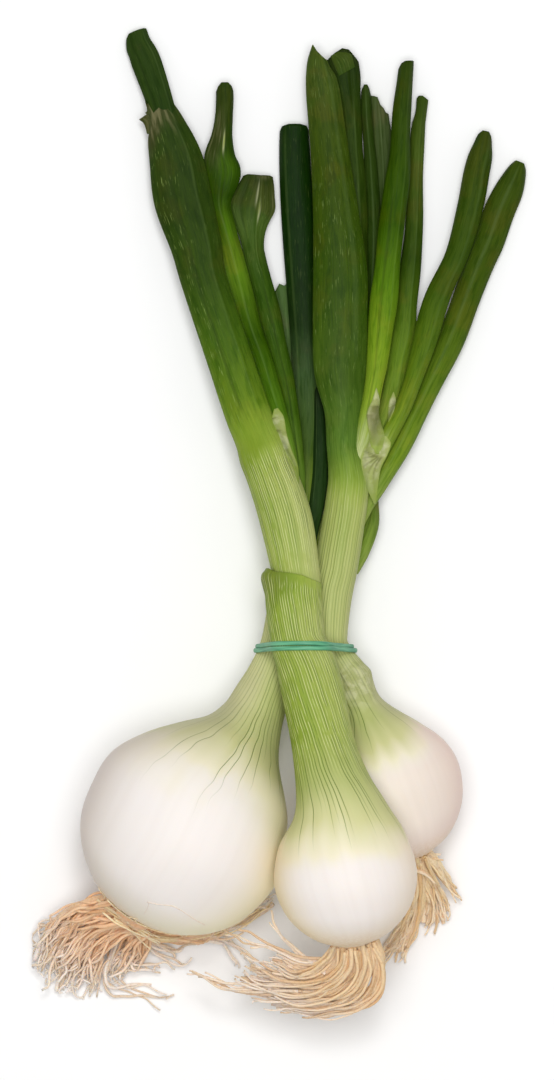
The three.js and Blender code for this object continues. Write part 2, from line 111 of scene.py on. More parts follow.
# green, leaf and side are tables of [distance from the belly, value]. green is the skin's colour,
# from 0 to 1 through SKIN_GREENS, and leaf turns the stem's looks into the leaf's. side makes the
# right side greener above 0, and the left one below it. Where the stem comes out of a sheath,
# stem_green is its green, and both that and leaf go by the distance along the stem.
#
# Two values are [left, right]: flank makes what faces sideways greener, and edge is the bulb's
# colour there: its cream, with painted shade on the left onion's left side and painted light on
# its right flank, which the front bulb shades. pink warms the bulb's white. dusk patches, by
# distance, are painted shade on the skin, crumpled ones are dry and wrinkled, and swellings are
# bumps and dents. lines is how many fine lines there are round the stem, and lined their
# strength. Each dark one goes on down the bulb as a vein, to a distance between the two vein_ends.
#
# cut, creases and colours are the leaf's, as for LEAVES below. flecked is how many pale flecks it
# has, at its left and right, and dry the length of its withered end.
SKIN_GREENS = [[0, (238, 232, 226)], [0.12, (234, 227, 200)], [0.3, (208, 207, 152)],
               [0.5, (180, 187, 120)], [0.75, (158, 172, 86)], [0.88, (144, 164, 66)],
               [1, (122, 145, 42)]]
ONIONS = [
    {
        "name": "front_onion",
        "bulb": FRONT_BULB,
        "tubes": [FRONT_SHEATH, FRONT_STEM],
        "seed": 3,
        "green": [[3, 0], [13, 0.16], [25, 0.36], [42, 0.68], [55, 0.82], [74, 0.82], [90, 0.76],
                  [104, 0.8], [110, 0.94]],
        "stem_green": [[0, 0.78], [6, 0.72], [30, 0.72], [44, 0.76], [52, 0.88], [58, 1]],
        "leaf": [[57, 0], [74, 1]],
        "side": [[0, -0.01], [24, 0], [40, -0.1], [60, -0.16]],
        "flank": [0.09, 0.1],
        "lined": 1,
        "edge": [(240, 222, 178), (240, 224, 204)],
        "vein_ends": [4, 30],
        "lines": 66,
        "pink": 0.25,
        "cut": [[-1, -5], [-0.8, 0], [-0.65, 2.5], [-0.5, -2], [-0.1, -1], [0.3, 0.5], [0.6, -1],
                [1, 0]],
        "dry": 15,
        "creases": [[0.5, 0.5, 0.5, 0.12, 0.1, 1], [-0.2, -0.3, -0.3, 0.2, 0.1, 0.9]],
        "flecked": [0.34, 0.14],
        "colours": [[0, (138, 164, 58)], [0.06, (118, 146, 42)], [0.14, (94, 122, 26)],
                    [0.3, (68, 98, 16)], [0.5, (48, 72, 10)], [0.7, (40, 61, 8)],
                    [1, (42, 62, 12)]],
    },
    {
        "name": "left_onion",
        "bulb": LEFT_BULB,
        "tubes": [LEFT_STEM],
        "seed": 5,
        "green": [[6, 0], [22, 0.08], [32, 0.23], [44, 0.38], [56, 0.42], [72, 0.46], [92, 0.66],
                  [130, 1]],
        "leaf": [[125, 0], [160, 1]],
        "side": [[0, -0.04], [26, -0.04], [36, 0.14], [60, 0.2]],
        "flank": [0.12, -0.06],
        "lined": 0.28,
        "dusk": [[44, -0.9, 20, 0.55, 0.68], [58, -0.6, 12, 0.5, 0.4]],
        "swellings": [[29, 9, 0.75, 0.14, 3.2], [30, 9, 0.3, 0.12, -1]],
        "edge": [(211, 200, 194), (252, 246, 204)],
        "vein_ends": [0, 44],
        "lines": 42,
        "pink": 0.1,
        "cut": [[-1, -2], [-0.85, -0.2], [-0.4, 0.6], [0.4, 0.6], [0.85, 0], [1, -1.6]],
        "creases": [[-0.6, -0.6, 0.3, 0.2, 0.1, 1]],
        "flecked": [0.14, 0.14],
        "colours": [[0, (76, 98, 28)], [0.2, (64, 88, 26)], [0.4, (56, 82, 40)],
                    [0.52, (22, 46, 6)], [0.7, (14, 42, 1)], [1, (14, 42, 0)]],
    },
    {
        "name": "right_onion",
        "bulb": RIGHT_BULB,
        "tubes": [RIGHT_STEM],
        "seed": 9,
        "green": [[4, 0], [10, 0.1], [18, 0.34], [28, 0.54], [40, 0.54], [54, 0.54], [64, 0.5],
                  [78, 0.54], [96, 0.62], [112, 0.7], [124, 0.95]],
        "leaf": [[116, 0], [134, 1]],
        "side": [[0, -0.04], [30, -0.04], [60, 0]],
        "flank": [0.1, -0.1],
        "lined": 0.5,
        "dusk": [[32, 0.9, 12, 0.5, 0.5]],
        "crumpled": [[41, 0.25, 9, 0.8, 1]],
        "swellings": [[42.5, 3.5, 0.72, 0.12, 1], [33, 6, 0.75, 0.2, -1.2]],
        "edge": [(236, 216, 206), (238, 215, 206)],
        "vein_ends": [6, 34],
        "lines": 42,
        "pink": 0.9,
        "cut": [[-1, 1], [-0.8, 2.5], [-0.3, 0], [0.3, -2], [1, -3.5]],
        "creases": [[0.6, 0.5, 0.2, 0.3, 0.3, 1]],
        "flecked": [0.3, 0.22],
        "colours": [[0, (116, 148, 56)], [0.12, (86, 118, 40)], [0.25, (62, 88, 20)],
                    [0.5, (48, 73, 4)], [0.75, (52, 72, 4)], [1, (62, 80, 22)]],
    },
]

# ---------------- leaves
# cut shapes a leaf's end: [place across it from -1 to 1, shift along it]. A crease runs from one
# place across to another, a ridge above 0 and a groove below it:
# [from, to, depth, width, start, end], where start and end are shares of the leaf's length.
# colours hold shares of the length too. dry, bright and pale are patches, each of them
# [share, place across, half its length, half its width, strength]. flecked is as above.
ROUND_CUT = [[-1, -3], [-0.8, -1.2], [-0.4, 0.2], [0.4, 0.2], [0.8, -1.2], [1, -3]]
LEAVES = [
    {
        "name": "front_leaf_inner",
        "line": [[-40.5, 146, 9.4, 4.6, 2.2], [-45, 162.5, 7.6, 5.4, 2.4], [-50, 177.5, 5, 5.9, 2.6],
                 [-53.2, 184.5, 3.8, 5.2, 2.6], [-54.2, 188.6, 3, 4.6, 2.5]],
        "cut": [[-1, -3], [-0.9, -1.6], [-0.6, 0], [0.6, 1], [0.95, 1.4], [1, 0.6]],
        "creases": [[-0.4, -0.5, -0.3, 0.2, 0, 1], [0.6, 0.6, 0.3, 0.15, 0, 1]],
        "colours": [[0, (34, 56, 11)], [1, (42, 62, 18)]],
    },
    {
        "name": "front_leaf_second",
        "line": [[6.5, 12, 27, 2, 2.2], [5.2, 24, 25.5, 2.6, 2.8], [2.5, 36, 23.2, 3.2, 3],
                 [-1, 47.5, 21, 3.6, 3.2], [-6, 64, 18, 3.8, 3.4], [-10.5, 77, 16, 4, 3.4],
                 [-16, 99, 12.5, 4.4, 3.4], [-19.5, 112.5, 11, 4, 3], [-22, 123, 10, 4.4, 2.6],
                 [-21, 134, 9, 7.2, 2.8], [-21.8, 141, 8.3, 6, 3], [-21, 148.5, 7.7, 4.3, 3],
                 [-20.3, 156, 7, 3.7, 2.9], [-20, 164, 6.4, 3.3, 2.7], [-20, 169, 6, 3.1, 2.5]],
        "cut": ROUND_CUT,
        "creases": [[0.1, -0.1, 0.4, 0.25, 0.1, 0.75], [-0.2, 0.3, -0.5, 0.15, 0.68, 0.86]],
        "colours": [[0, (110, 140, 50)], [0.2, (76, 112, 18)], [0.38, (48, 78, 2)],
                    [0.54, (86, 118, 24)], [0.73, (38, 66, 0)], [1, (40, 58, 10)]],
        "dry": [[0.87, -0.5, 0.06, 0.6, 0.7]],
        "bright": [[0.8, 0.3, 0.04, 0.5, 0.3], [0.6, 0.3, 0.1, 0.3, 0.5]],
        "pale": [[0.86, 0.2, 0.025, 0.08, 0.9]],
    },
    {
        "name": "front_leaf_third",
        "line": [[9, 3, 25, 1.8, 2], [8.5, 14, 23, 2.4, 2.4], [7, 29, 20.4, 3, 2.6],
                 [4, 49.5, 17.5, 3.6, 3], [1, 62.5, 15, 4.1, 3.2], [-5.5, 89.5, 10.3, 4.5, 3],
                 [-8.5, 101.5, 8.4, 4.2, 2.8], [-9.2, 107, 7.6, 4.1, 2.6], [-9.6, 113, 7, 5.6, 2.4],
                 [-9.6, 121, 6.5, 9, 2.2], [-8.6, 127, 5.9, 7.6, 2.1], [-7.6, 132.6, 5.5, 5.6, 2]],
        "cut": [[-1, 0.2], [-0.7, 1], [0.2, 1.4], [0.8, 2], [1, 1.8]],
        "creases": [[0.2, 0.3, 0.7, 0.1, 0.7, 1], [-0.3, -0.5, -0.8, 0.25, 0.82, 1],
                    [0.1, 0.2, -0.3, 0.3, 0.1, 0.7], [0.7, 0.8, -0.4, 0.12, 0.85, 1]],
        "colours": [[0, (100, 130, 45)], [0.3, (58, 88, 12)], [0.7, (50, 78, 14)],
                    [0.85, (66, 90, 32)], [1, (42, 56, 14)]],
        "dry": [[1, 0.4, 0.012, 0.6, 0.6], [0.93, 0.95, 0.05, 0.15, 0.5]],
        "pale": [[0.95, 0.15, 0.03, 0.04, 0.5], [0.9, 0.32, 0.03, 0.04, 0.6]],
        "flecked": 0.2,
    },
    {
        "name": "right_leaf_bright",
        "line": [[29, 20, 22, 2.6, 2.6], [33, 34, 22, 3.2, 3.4], [36.5, 51.5, 21, 3.6, 3.6],
                 [38.5, 64, 19.8, 4.4, 3.8], [41, 89.5, 16.8, 5.3, 3.8], [43.5, 110, 14.3, 5, 3.8],
                 [45.5, 128, 12.3, 5, 3.6], [47, 141.5, 10.8, 4.1, 3.4], [48, 160, 9, 3.4, 3.2],
                 [49.5, 177, 7.6, 3, 2.6]],
        "cut": [[-1, -3], [-0.7, -0.8], [-0.2, 0.2], [0.8, 0.8], [1, 0.8]],
        "creases": [[0.55, 0.5, 0.35, 0.15, 0.3, 1], [-0.2, -0.2, -0.3, 0.3, 0.1, 0.7]],
        "colours": [[0, (160, 180, 84)], [0.12, (134, 160, 46)], [0.3, (112, 142, 28)],
                    [0.45, (82, 118, 14)], [0.6, (50, 80, 0)], [1, (44, 62, 8)]],
        "pale": [[0.05, 0, 0.07, 1, 0.5]],
    },
    {
        "name": "right_leaf_long",
        "line": [[30.5, 8, 20, 2.2, 2.6], [36, 20, 20, 2.8, 3], [42.5, 33.5, 19, 3.1, 3.2],
                 [49, 47.5, 17.3, 3.5, 3.4], [55.5, 66.5, 14.8, 4.2, 3.6], [61, 86, 12, 4.9, 3.8],
                 [69, 103.5, 9.6, 4.5, 3.8], [74, 121.5, 7.2, 4.9, 3.8], [76.5, 135, 5.8, 5, 3.6],
                 [78.5, 143.5, 5, 4.6, 3.4], [80, 150.5, 4.5, 3.2, 2.8]],
        "cut": ROUND_CUT,
        "creases": [[0.3, 0.5, 0.3, 0.3, 0.1, 1]],
        "colours": [[0, (150, 168, 84)], [0.15, (112, 140, 34)], [0.35, (86, 114, 20)],
                    [0.6, (58, 82, 12)], [1, (48, 66, 10)]],
        "pale": [[0.12, -0.2, 0.06, 0.8, 0.5]],
    },
    {
        "name": "right_leaf_outer",
        "line": [[29.5, -3, 16, 2.2, 2.6], [34, 7, 15.2, 2.7, 3], [39.5, 16, 14.5, 3.1, 3.4],
                 [46.5, 28.5, 13, 3.8, 3.6], [53, 42, 11.3, 4.1, 3.8], [61, 58.5, 9.3, 4.6, 3.8],
                 [68, 74.5, 7.3, 5.2, 3.8], [77, 98.5, 5, 5.5, 3.8], [81.5, 109, 4.2, 5.9, 3.9],
                 [85.5, 120.5, 3.7, 5.9, 3.7], [89, 128.5, 3.5, 5.3, 3.5], [92.1, 136, 3.2, 3.8, 3.1],
                 [93.3, 139, 3, 2.8, 2.4]],
        "cut": [[-1, -1.5], [-0.6, 0], [0.6, 0], [1, -1.5]],
        "creases": [[-0.2, 0, 0.3, 0.3, 0.1, 1]],
        "colours": [[0, (150, 168, 84)], [0.2, (106, 134, 34)], [0.42, (86, 112, 24)],
                    [0.65, (60, 82, 12)], [1, (54, 72, 12)]],
    },
    {
        "name": "right_leaf_narrow",
        "line": [[31, 12, 17.5, 2.2, 2.2], [36.3, 27, 15, 3.3, 2.6], [43.2, 47.5, 12.5, 3.9, 2.8],
                 [46.8, 65, 10.3, 4.6, 2.8], [48.8, 75, 9.3, 4.8, 2.8], [49.8, 86, 8.3, 4.2, 2.8],
                 [52, 109, 6.4, 3.8, 2.6], [53, 130.5, 5, 3.3, 2.4], [54, 150.5, 4, 2.5, 2.2],
                 [55.2, 158, 3.6, 2, 1.9], [55.8, 164, 3.4, 2.1, 1.8]],
        "cut": [[-1, -0.6], [-0.6, 0.4], [0, 0.5], [1, -0.8]],
        "creases": [[0.4, 0.3, 0.35, 0.2, 0.1, 1]],
        "colours": [[0, (140, 160, 64)], [0.35, (96, 126, 30)], [0.6, (44, 68, 8)],
                    [0.85, (68, 88, 22)], [1, (54, 74, 14)]],
    },
    {
        "name": "right_leaf_second",
        "line": [[27, 14, 14.5, 3.4, 2.6], [28, 32, 12.5, 4.6, 3], [30, 74.5, 11.3, 5, 3],
                 [30, 105, 9.8, 5, 3], [29.5, 124, 8.8, 5.2, 3], [28.5, 143.5, 7.8, 4.8, 2.8],
                 [27.4, 160, 6.8, 4.8, 2.6], [26, 170, 6.2, 5.9, 2.3], [24.7, 180, 6, 6.3, 1.9]],
        "cut": [[-1, -1.5], [-0.4, 1], [0.1, 2.4], [0.5, 1.6], [1, -3.5]],
        "creases": [[0.3, 0.4, 0.4, 0.2, 0.3, 0.9], [-1, 0.5, -1.4, 0.12, 0.88, 0.98]],
        "colours": [[0, (66, 92, 30)], [0.5, (46, 66, 11)], [0.85, (42, 62, 10)],
                    [1, (30, 48, 9)]],
    },
    {
        "name": "right_leaf_third",
        "line": [[30, 15, 16, 2.2, 1.8], [33, 32, 14, 2.6, 2], [35.5, 74.5, 10, 2.8, 2.2],
                 [37, 109, 7.6, 2.8, 2.2], [36, 136, 6, 2.6, 2.2], [34.5, 155, 5, 2.2, 2],
                 [34, 168.5, 4.5, 1.7, 1.8]],
        "cut": ROUND_CUT,
        "creases": [[0, 0, 0.3, 0.3, 0.1, 1]],
        "colours": [[0, (60, 88, 28)], [0.5, (40, 62, 12)], [1, (46, 66, 17)]],
    },
    {
        "name": "right_leaf_grey",
        "line": [[31, 14, 11.5, 2.6, 2.2], [35, 32, 9, 3.3, 2.4], [38.5, 74.5, 6.5, 3.8, 2.6],
                 [41, 109, 4.5, 4, 2.6], [41, 132.5, 3.6, 3.9, 2.6], [40.2, 147.5, 3.2, 3.9, 2.5],
                 [39.2, 161, 3, 3.5, 2.2]],
        "cut": [[-1, 4], [-0.5, 3.6], [-0.1, 3], [0.15, 0], [0.5, -1.4], [0.7, -3], [1, -3.6]],
        "creases": [[-0.2, 0, 0.5, 0.15, 0.1, 1]],
        "colours": [[0, (66, 88, 40)], [0.7, (50, 68, 26)], [1, (68, 83, 44)]],
    },
    {
        "name": "left_leaf_blade",
        "line": [[12.5, -6, 18, 2.6, 2], [15.4, 9.5, 16, 3.2, 2.2], [16.5, 24.5, 14, 3.4, 2.2],
                 [16.3, 40, 12.5, 2.9, 2], [15.6, 52, 11.5, 1.8, 1.6]],
        "cut": ROUND_CUT,
        "creases": [[-0.5, -0.4, 0.5, 0.12, 0.2, 1]],
        "colours": [[0, (40, 66, 24)], [0.5, (30, 54, 18)], [1, (18, 38, 10)]],
    },
    {
        "name": "left_leaf_grey",
        "line": [[9, 26, 5, 2.8, 2.2], [6.5, 48, 3.8, 3.6, 2.4], [4, 71, 3, 4, 2.6],
                 [2, 92, 2.4, 3.6, 2.3]],
        "cut": [[-1, -3], [-0.3, 0.5], [0.2, -0.5], [1, 1.5]],
        "creases": [[0, 0.1, 0.4, 0.2, 0.1, 1]],
        "colours": [[0, (64, 88, 44)], [1, (76, 102, 54)]],
    },
    {
        "name": "left_leaf_stub",
        "line": [[28.5, -18, 13.5, 2.3, 2.4], [32.5, -9, 12.5, 2.9, 2.8], [35.5, -0.5, 12, 3, 2.8],
                 [36.5, 7, 11.5, 2, 2.2]],
        "cut": [[-1, -1], [-0.2, -2], [0.4, 0.5], [1, 2]],
        "creases": [[0.3, 0.5, 0.3, 0.2, 0.1, 1], [-0.4, -0.2, -0.4, 0.2, 0.3, 1]],
        "colours": [[0, (140, 158, 76)], [0.5, (118, 142, 52)], [1, (84, 104, 34)]],
    },
]

# ---------------- thin skins
# Folded flaps, dry skins where leaves part, and torn spikes. They lie on the pieces under them,
# and belong to the node. left and right are the two edges, as [across the frame, down the frame].
# Each fold is a crease, [across, along, to across, to along] in shares of the skin, dented and
# darkened with painted shade. lift is how far its middle stands up, and paint is what the node's
# material is told about it.
SKINS = [
    {
        "node": "right_leaf_second",
        "left": [[330.5, 56], [334, 65], [339, 76]],
        "right": [[338, 51.5], [350.5, 54], [355, 67]],
        "lift": 0.5,
        "paint": {"reach": 0.35, "flecked": 0.25},
    },
    {
        "node": "front_onion",
        "left": [[274, 409], [272, 420], [278, 434], [285, 452], [293, 466], [298, 484]],
        "right": [[278, 408], [284, 417], [287, 434], [292, 450], [298, 466], [299, 484]],
        "folds_and_shade": [[0, 0.18, 1, 0.2], [0, 0.36, 1, 0.38]],
        "lift": 0.3,
        "paint": {"green": 0.96, "papery": 0.6},
    },
    {
        "node": "right_onion",
        "left": [[371, 437], [364, 447], [361, 459], [362, 470], [366, 486], [374, 504]],
        "right": [[387, 436], [391, 444], [387, 456], [381, 468], [378, 486], [376, 504]],
        "folds_and_shade": [[0.55, 0.38, 0, 0.26], [0.6, 0.38, 0, 0.4], [0.65, 0.4, 0.1, 0.55],
                  [0.7, 0.42, 0.35, 0.64], [0.78, 0.42, 0.62, 0.72], [0.5, 0.3, 0.62, 0.05]],
        "lift": 0.4,
        "paint": {"green": 0.88, "papery": 0.75},
    },
    {
        "node": "right_onion",
        "left": [[376, 388], [372, 400], [367, 412], [367, 422], [369, 436], [371, 454]],
        "right": [[377, 388], [380, 400], [379, 412], [381, 422], [385, 436], [384, 454]],
        "folds_and_shade": [[0.7, 0.3, 0.5, 0.8], [0.3, 0.45, 0.45, 0.9]],
        "lift": 0.8,
        "paint": {"green": 0.9, "papery": 0.8},
    },
    {
        "node": "right_onion",
        "left": [[393, 392], [389, 402], [388, 412], [388, 422]],
        "right": [[394, 392], [396, 400], [394, 411], [389, 422]],
        "lift": 0.25,
        "paint": {"green": 0.92, "papery": 0.7},
    },
    {
        "node": "front_onion",
        "left": [[144.8, 100], [147, 110], [145, 113]],
        "right": [[146, 102], [151, 111], [152, 118]],
        "lift": 0.2,
        "paint": {"leaf": 1, "reach": 0.9, "dry": 0.5},
    },
    {
        "node": "front_onion",
        "left": [[139, 119.5], [144, 124], [147, 134]],
        "right": [[147, 114], [151, 120], [151, 134]],
        "lift": 0.2,
        "paint": {"leaf": 1, "reach": 0.9, "dry": 0.7},
    },
]

# ---------------- roots
# A lock is [count, start, end, guide]: its roots start and end within these distances of the
# guide, a list of [across the frame, down the frame, height], and tangle is how much they wind.
# straw_locks hold thinner, straw-coloured ones. The others go from the tuft's colour to its tip's.
# crown is the line of the knot of stubs at the root plate. A thread, [half its thickness, path],
# is one fibre that lies on what is under it, and whiskers are [count, bulb that they lie on].
TUFTS = [
    {
        "name": "front_roots",
        "seed": 11,
        "tangle": 0.75,
        "crown": [[27.6, -151, 61.8, 7, 6], [27.9, -154.6, 61.2, 7, 6], [28, -157, 60.6, 4.5, 4]],
        "colour": (243, 208, 166),
        "tip": (240, 220, 202),
        "locks": [
            [26, 3, 3.4, [[371, 941, 60], [379, 960, 57], [377, 984, 51], [362, 1002, 45],
                          [338, 1010, 40], [308, 1012, 36], [278, 1006, 33]]],
            [28, 3.6, 4, [[363, 943, 61], [367, 966, 57], [356, 988, 50], [336, 1000, 44],
                          [308, 1003, 39], [280, 1000, 36], [254, 995, 34]]],
            [28, 3.6, 4, [[353, 944, 61], [354, 966, 56], [340, 984, 50], [318, 993, 45],
                          [290, 993, 40], [264, 987, 37], [242, 981, 35]]],
            [26, 3.4, 4, [[344, 944, 61], [341, 962, 56], [326, 976, 50], [304, 981, 45],
                          [282, 978, 41], [260, 971, 38], [244, 964, 36]]],
            [16, 2.6, 3, [[337, 943, 61], [331, 956, 56], [316, 968, 51], [298, 971, 46],
                          [282, 964, 42], [266, 958, 40]]],
            [4, 2, 4, [[330, 962, 52], [300, 960, 48], [270, 950, 44], [245, 942, 40],
                       [222, 934, 36]]],
            [3, 1.5, 3, [[300, 985, 44], [262, 984, 38], [236, 985, 34], [212, 978, 32],
                         [190, 969, 31.5]]],
            [3, 1.5, 2, [[300, 992, 44], [262, 992, 38], [236, 991, 34], [212, 984, 32],
                         [192, 972, 31.5]]],
            [2, 1, 1.5, [[326, 972, 53], [306, 958, 48], [286, 942, 44], [276, 926, 42],
                         [270, 912, 40]]],
        ],
    },
    {
        "name": "left_roots",
        "seed": 23,
        "tangle": 1.8,
        "threads": [[0.24, [[147, 902], [159, 904.5], [172, 906], [182, 911], [194, 919],
                            [205, 925]]],
                    [0.18, [[149, 902.5], [147.5, 908], [144, 914]]]],
        "whiskers": [130, LEFT_BULB],
        "straw_locks": [
            [7, 2, 2, [[128, 922, 25], [152, 935.5, 18], [182, 939, 14.5], [212, 934.5, 13],
                       [244, 921.5, 13], [272, 904, 14]]],
            [9, 3, 3, [[100, 900, 30], [112, 911, 31], [128, 922, 30], [142, 931, 27],
                       [156, 938, 22]]],
            [6, 3, 4, [[118, 915, 31], [132, 925, 28], [144, 936, 22], [158, 944, 15]]],
        ],
        "crown": [[-52, -144, 30, 9, 7.5], [-54, -147.5, 28, 9, 7.5], [-55.5, -150, 26.5, 6, 5]],
        "colour": (243, 198, 158),
        "tip": (242, 228, 214),
        "locks": [
            [18, 4, 3.5, [[114, 903, 31], [94, 906, 28], [74, 913, 22], [58, 926, 15],
                          [47, 944, 9], [38, 962, 5]]],
            [22, 4, 4.5, [[122, 909, 30], [100, 911, 27], [78, 920, 20], [62, 937, 13],
                          [51, 956, 7], [42, 975, 4]]],
            [22, 4, 5, [[130, 915, 29], [108, 918, 25], [86, 929, 17], [70, 949, 10],
                        [60, 970, 5], [55, 987, 3]]],
            [20, 4, 5, [[136, 920, 27], [115, 926, 22], [95, 939, 15], [81, 959, 8],
                        [73, 979, 4], [71, 996, 3]]],
            [20, 3.5, 5, [[142, 925, 25], [124, 931, 20], [108, 943, 13], [97, 961, 7],
                          [91, 980, 4], [91, 997, 3]]],
            [16, 3.5, 4, [[146, 930, 23], [134, 937, 18], [124, 949, 11], [117, 964, 6],
                          [110, 979, 4]]],
            [14, 3, 4, [[148, 933, 21], [144, 941, 15], [140, 953, 9], [130, 966, 5],
                        [118, 972, 4]]],
            [5, 2, 3, [[132, 926, 20], [128, 946, 10], [130, 962, 6], [146, 968, 4],
                       [160, 972, 3.5], [176, 976, 3]]],
            [5, 2, 3, [[124, 930, 18], [112, 956, 9], [106, 976, 5], [120, 991, 3.5],
                       [146, 996, 3], [178, 998, 2.5]]],
            [5, 2, 2.5, [[136, 926, 20], [146, 940, 12], [158, 950, 7], [174, 955, 4],
                         [192, 951, 3]]],
            [12, 2, 1, [[132, 924, 22], [152, 935, 16], [182, 938.5, 13], [212, 934, 12],
                        [244, 921, 12], [274, 903, 13]]],
            [5, 1.5, 4, [[190, 936, 10], [215, 938, 6], [232, 946, 4], [242, 960, 3],
                         [242, 978, 2.5]]],
            [4, 1.5, 2, [[106, 926, 20], [72, 924, 14], [50, 925, 8], [42, 932, 6],
                         [48, 942, 5]]],
        ],
    },
    {
        "name": "right_roots",
        "seed": 37,
        "tangle": 0.7,
        "crown": [[53, -121.5, 20, 5.5, 5], [53.6, -124, 19.7, 5.5, 5], [54, -126, 19.4, 3.5, 3]],
        "colour": (252, 222, 178),
        "tip": (250, 224, 194),
        "locks": [
            [12, 2.6, 3, [[425, 853, 19], [434, 864, 16], [443, 877, 12], [452, 888, 8],
                          [462, 900, 5]]],
            [16, 2.8, 3.5, [[422, 856, 19], [430, 874, 14], [438, 892, 9], [443, 906, 5.5],
                            [446, 918, 3.5]]],
            [18, 2.8, 3.5, [[419, 858, 19], [424, 880, 13], [429, 900, 8], [430, 918, 4.5],
                            [427, 930, 3]]],
            [18, 2.4, 3.5, [[416, 860, 18], [418, 884, 13], [418, 906, 8], [412, 926, 5],
                            [404, 942, 3.5], [398, 954, 3]]],
            [16, 2.4, 3, [[413, 862, 17], [413, 888, 13], [410, 910, 9], [402, 930, 6],
                          [391, 946, 4], [383, 957, 3]]],
            [3, 1, 2, [[424, 855, 19], [434, 856, 18], [446, 856, 16]]],
            [2, 1, 1.5, [[414, 870, 20], [424, 873, 19], [432, 880, 17], [438, 890, 14]]],
        ],
    },
]

# ---------------- rubber band
# One loop wound twice round the three stems. It crosses them at y at the height y_height, and
# leans towards +Y by rise for each millimetre up. A strand is flat: thick and wide are half its
# sizes. Two strands lie side by side, each of them apart from the middle, and change places at the
# underside, within a share of a turn on each side of it that crossing gives.
BAND = {
    "thick": 0.5,
    "wide": 0.88,
    "apart": 0.78,
    "y": -47.4,
    "y_height": 20,
    "rise": 0.055,
    "crossing": 0.09,
}
BAND_STEPS = 300  # rings of a strand in one turn
BAND_SIDES = 14
BAND_GAP = 0.1  # air between band and stems
BAND_GRAIN = 0.5  # how far the strand's worn pattern goes on in one step
BAND_ROUNDS = 6  # how often the loop's corners are evened out
STEM_RINGS = 400  # rings of a stem where the band's plane cuts it


# ---------------- arithmetic
def smoothstep(value, low, high):
    share = np.clip((value - low) / (high - low), 0, 1)
    return share * share * (3 - 2 * share)


def table(rows, value):
    """The value at each place of a piecewise linear table of [place, value] rows."""
    places, values = np.transpose(rows)
    return np.interp(value, places, values)


def curve(stations, at):
    """Points of the smooth curve through the stations, one for each share of its way."""
    points = np.asarray(stations, float)
    points = np.vstack([2 * points[0] - points[1], points, 2 * points[-1] - points[-2]])
    place = np.clip(at, 0, 1) * (len(points) - 3)
    first = np.minimum(place.astype(int), len(points) - 4)
    share = (place - first)[:, None]
    before, start, end, after = (points[first + i] for i in range(4))
    leaving = (end - before) / 2
    arriving = (after - start) / 2
    square = 3 * (end - start) - 2 * leaving - arriving
    cube = 2 * (start - end) + leaving + arriving
    return start + leaving * share + square * share**2 + cube * share**3


def unit(vectors):
    return vectors / np.linalg.norm(vectors, axis=-1, keepdims=True)


def turns(count):
    """The turn of each side of a tube, from 0 at its underside round to 1."""
    return np.arange(count) / count


def place_across(turn):
    """How far across a tube a turn is, from -1 at the left to 1 at the right."""
    return np.sin((turn - 0.5) * 2 * math.pi)


def ripple(turn, count, seed):
    """A random wave round a section, from -1 to 1."""
    values = np.random.default_rng(seed).uniform(-1, 1, count)
    place = (turn % 1) * count
    first = place.astype(int) % count
    share = place - np.floor(place)
    share = share * share * (3 - 2 * share)
    return values[first] * (1 - share) + values[(first + 1) % count] * share


def waves(points, size, seed):
    """Smooth random bumps in space, mostly from -1 to 1, about size across."""
    random = np.random.default_rng(seed)
    total = np.zeros(points.shape[:-1])
    count = 7
    for _ in range(count):
        direction = unit(random.normal(size=3)) * random.uniform(0.6, 1.4) * math.pi / size
        total += np.sin(points @ direction + random.uniform(0, 2 * math.pi))
    return total / math.sqrt(count)


def facing_up(rings):
    """How far the surface through rings of points faces up, from -1 to 1."""
    ahead = np.gradient(rings, axis=0)
    around = np.roll(rings, -1, axis=1) - np.roll(rings, 1, axis=1)
    return unit(np.cross(around, ahead))[..., 2]


def swellings(turn, way, rows):
    """Bumps and dents in millimetres: [distance, its reach, turn, its reach, height]."""
    total = np.zeros((len(way), len(turn)))
    for place, reach, middle, spread, height in rows:
        along = (way[:, None] - place) / reach
        around = (turn[None, :] - middle) / spread
        total += height * np.exp(-(along**2) - around**2)
    return total


def seen(rows):
    """The places in millimetres of rows of [across the frame, down the frame, height]."""
    across, down, height = np.moveaxis(np.asarray(rows, float), -1, 0)
    scale = (CAMERA_HEIGHT - height) / (CAMERA_HEIGHT - FOCUS_HEIGHT) * MM_PER_PIXEL
    x = (across - FRAME_WIDTH / 2) * scale
    y = CAMERA_Y + (FRAME_HEIGHT / 2 - down) * scale
    return np.stack([x, y, height], axis=-1)


class Spine:
    """The centre line of a tube, with its directions and half sizes at each ring. along is each
    ring's distance from the start, and way is the one that the tables go by."""

    EASE = 0.4  # a ring's direction is the mean over this share of its width along the line

    def __init__(self, centre, wide, thick):
        self.centre = centre
        self.wide = wide
        self.thick = thick
        steps = np.linalg.norm(np.diff(centre, axis=0), axis=1)
        self.along = np.concatenate([[0], np.cumsum(steps)])
        self.length = self.along[-1]
        self.way = self.along
        away = self.along[:, None] - self.along[None, :]
        weight = np.exp(-((away / (self.EASE * wide[:, None])) ** 2))
        self.tangent = unit(weight @ np.gradient(centre, axis=0))
        self.across = unit(np.cross(self.tangent, [0, 0, 1]))
        self.normal = np.cross(self.across, self.tangent)

    @classmethod
    def through(cls, line, rings):
        stations = [row if len(row) == 5 else [*row, row[3]] for row in line]
        values = curve(stations, np.linspace(0, 1, rings))
        return cls(values[:, :3], values[:, 3], values[:, 4])

    def measure_from(self, point):
        """Counts the way from the ring that is nearest to a point."""
        nearest = np.argmin(np.linalg.norm(self.centre - point, axis=1))
        self.way = self.along - self.along[nearest]


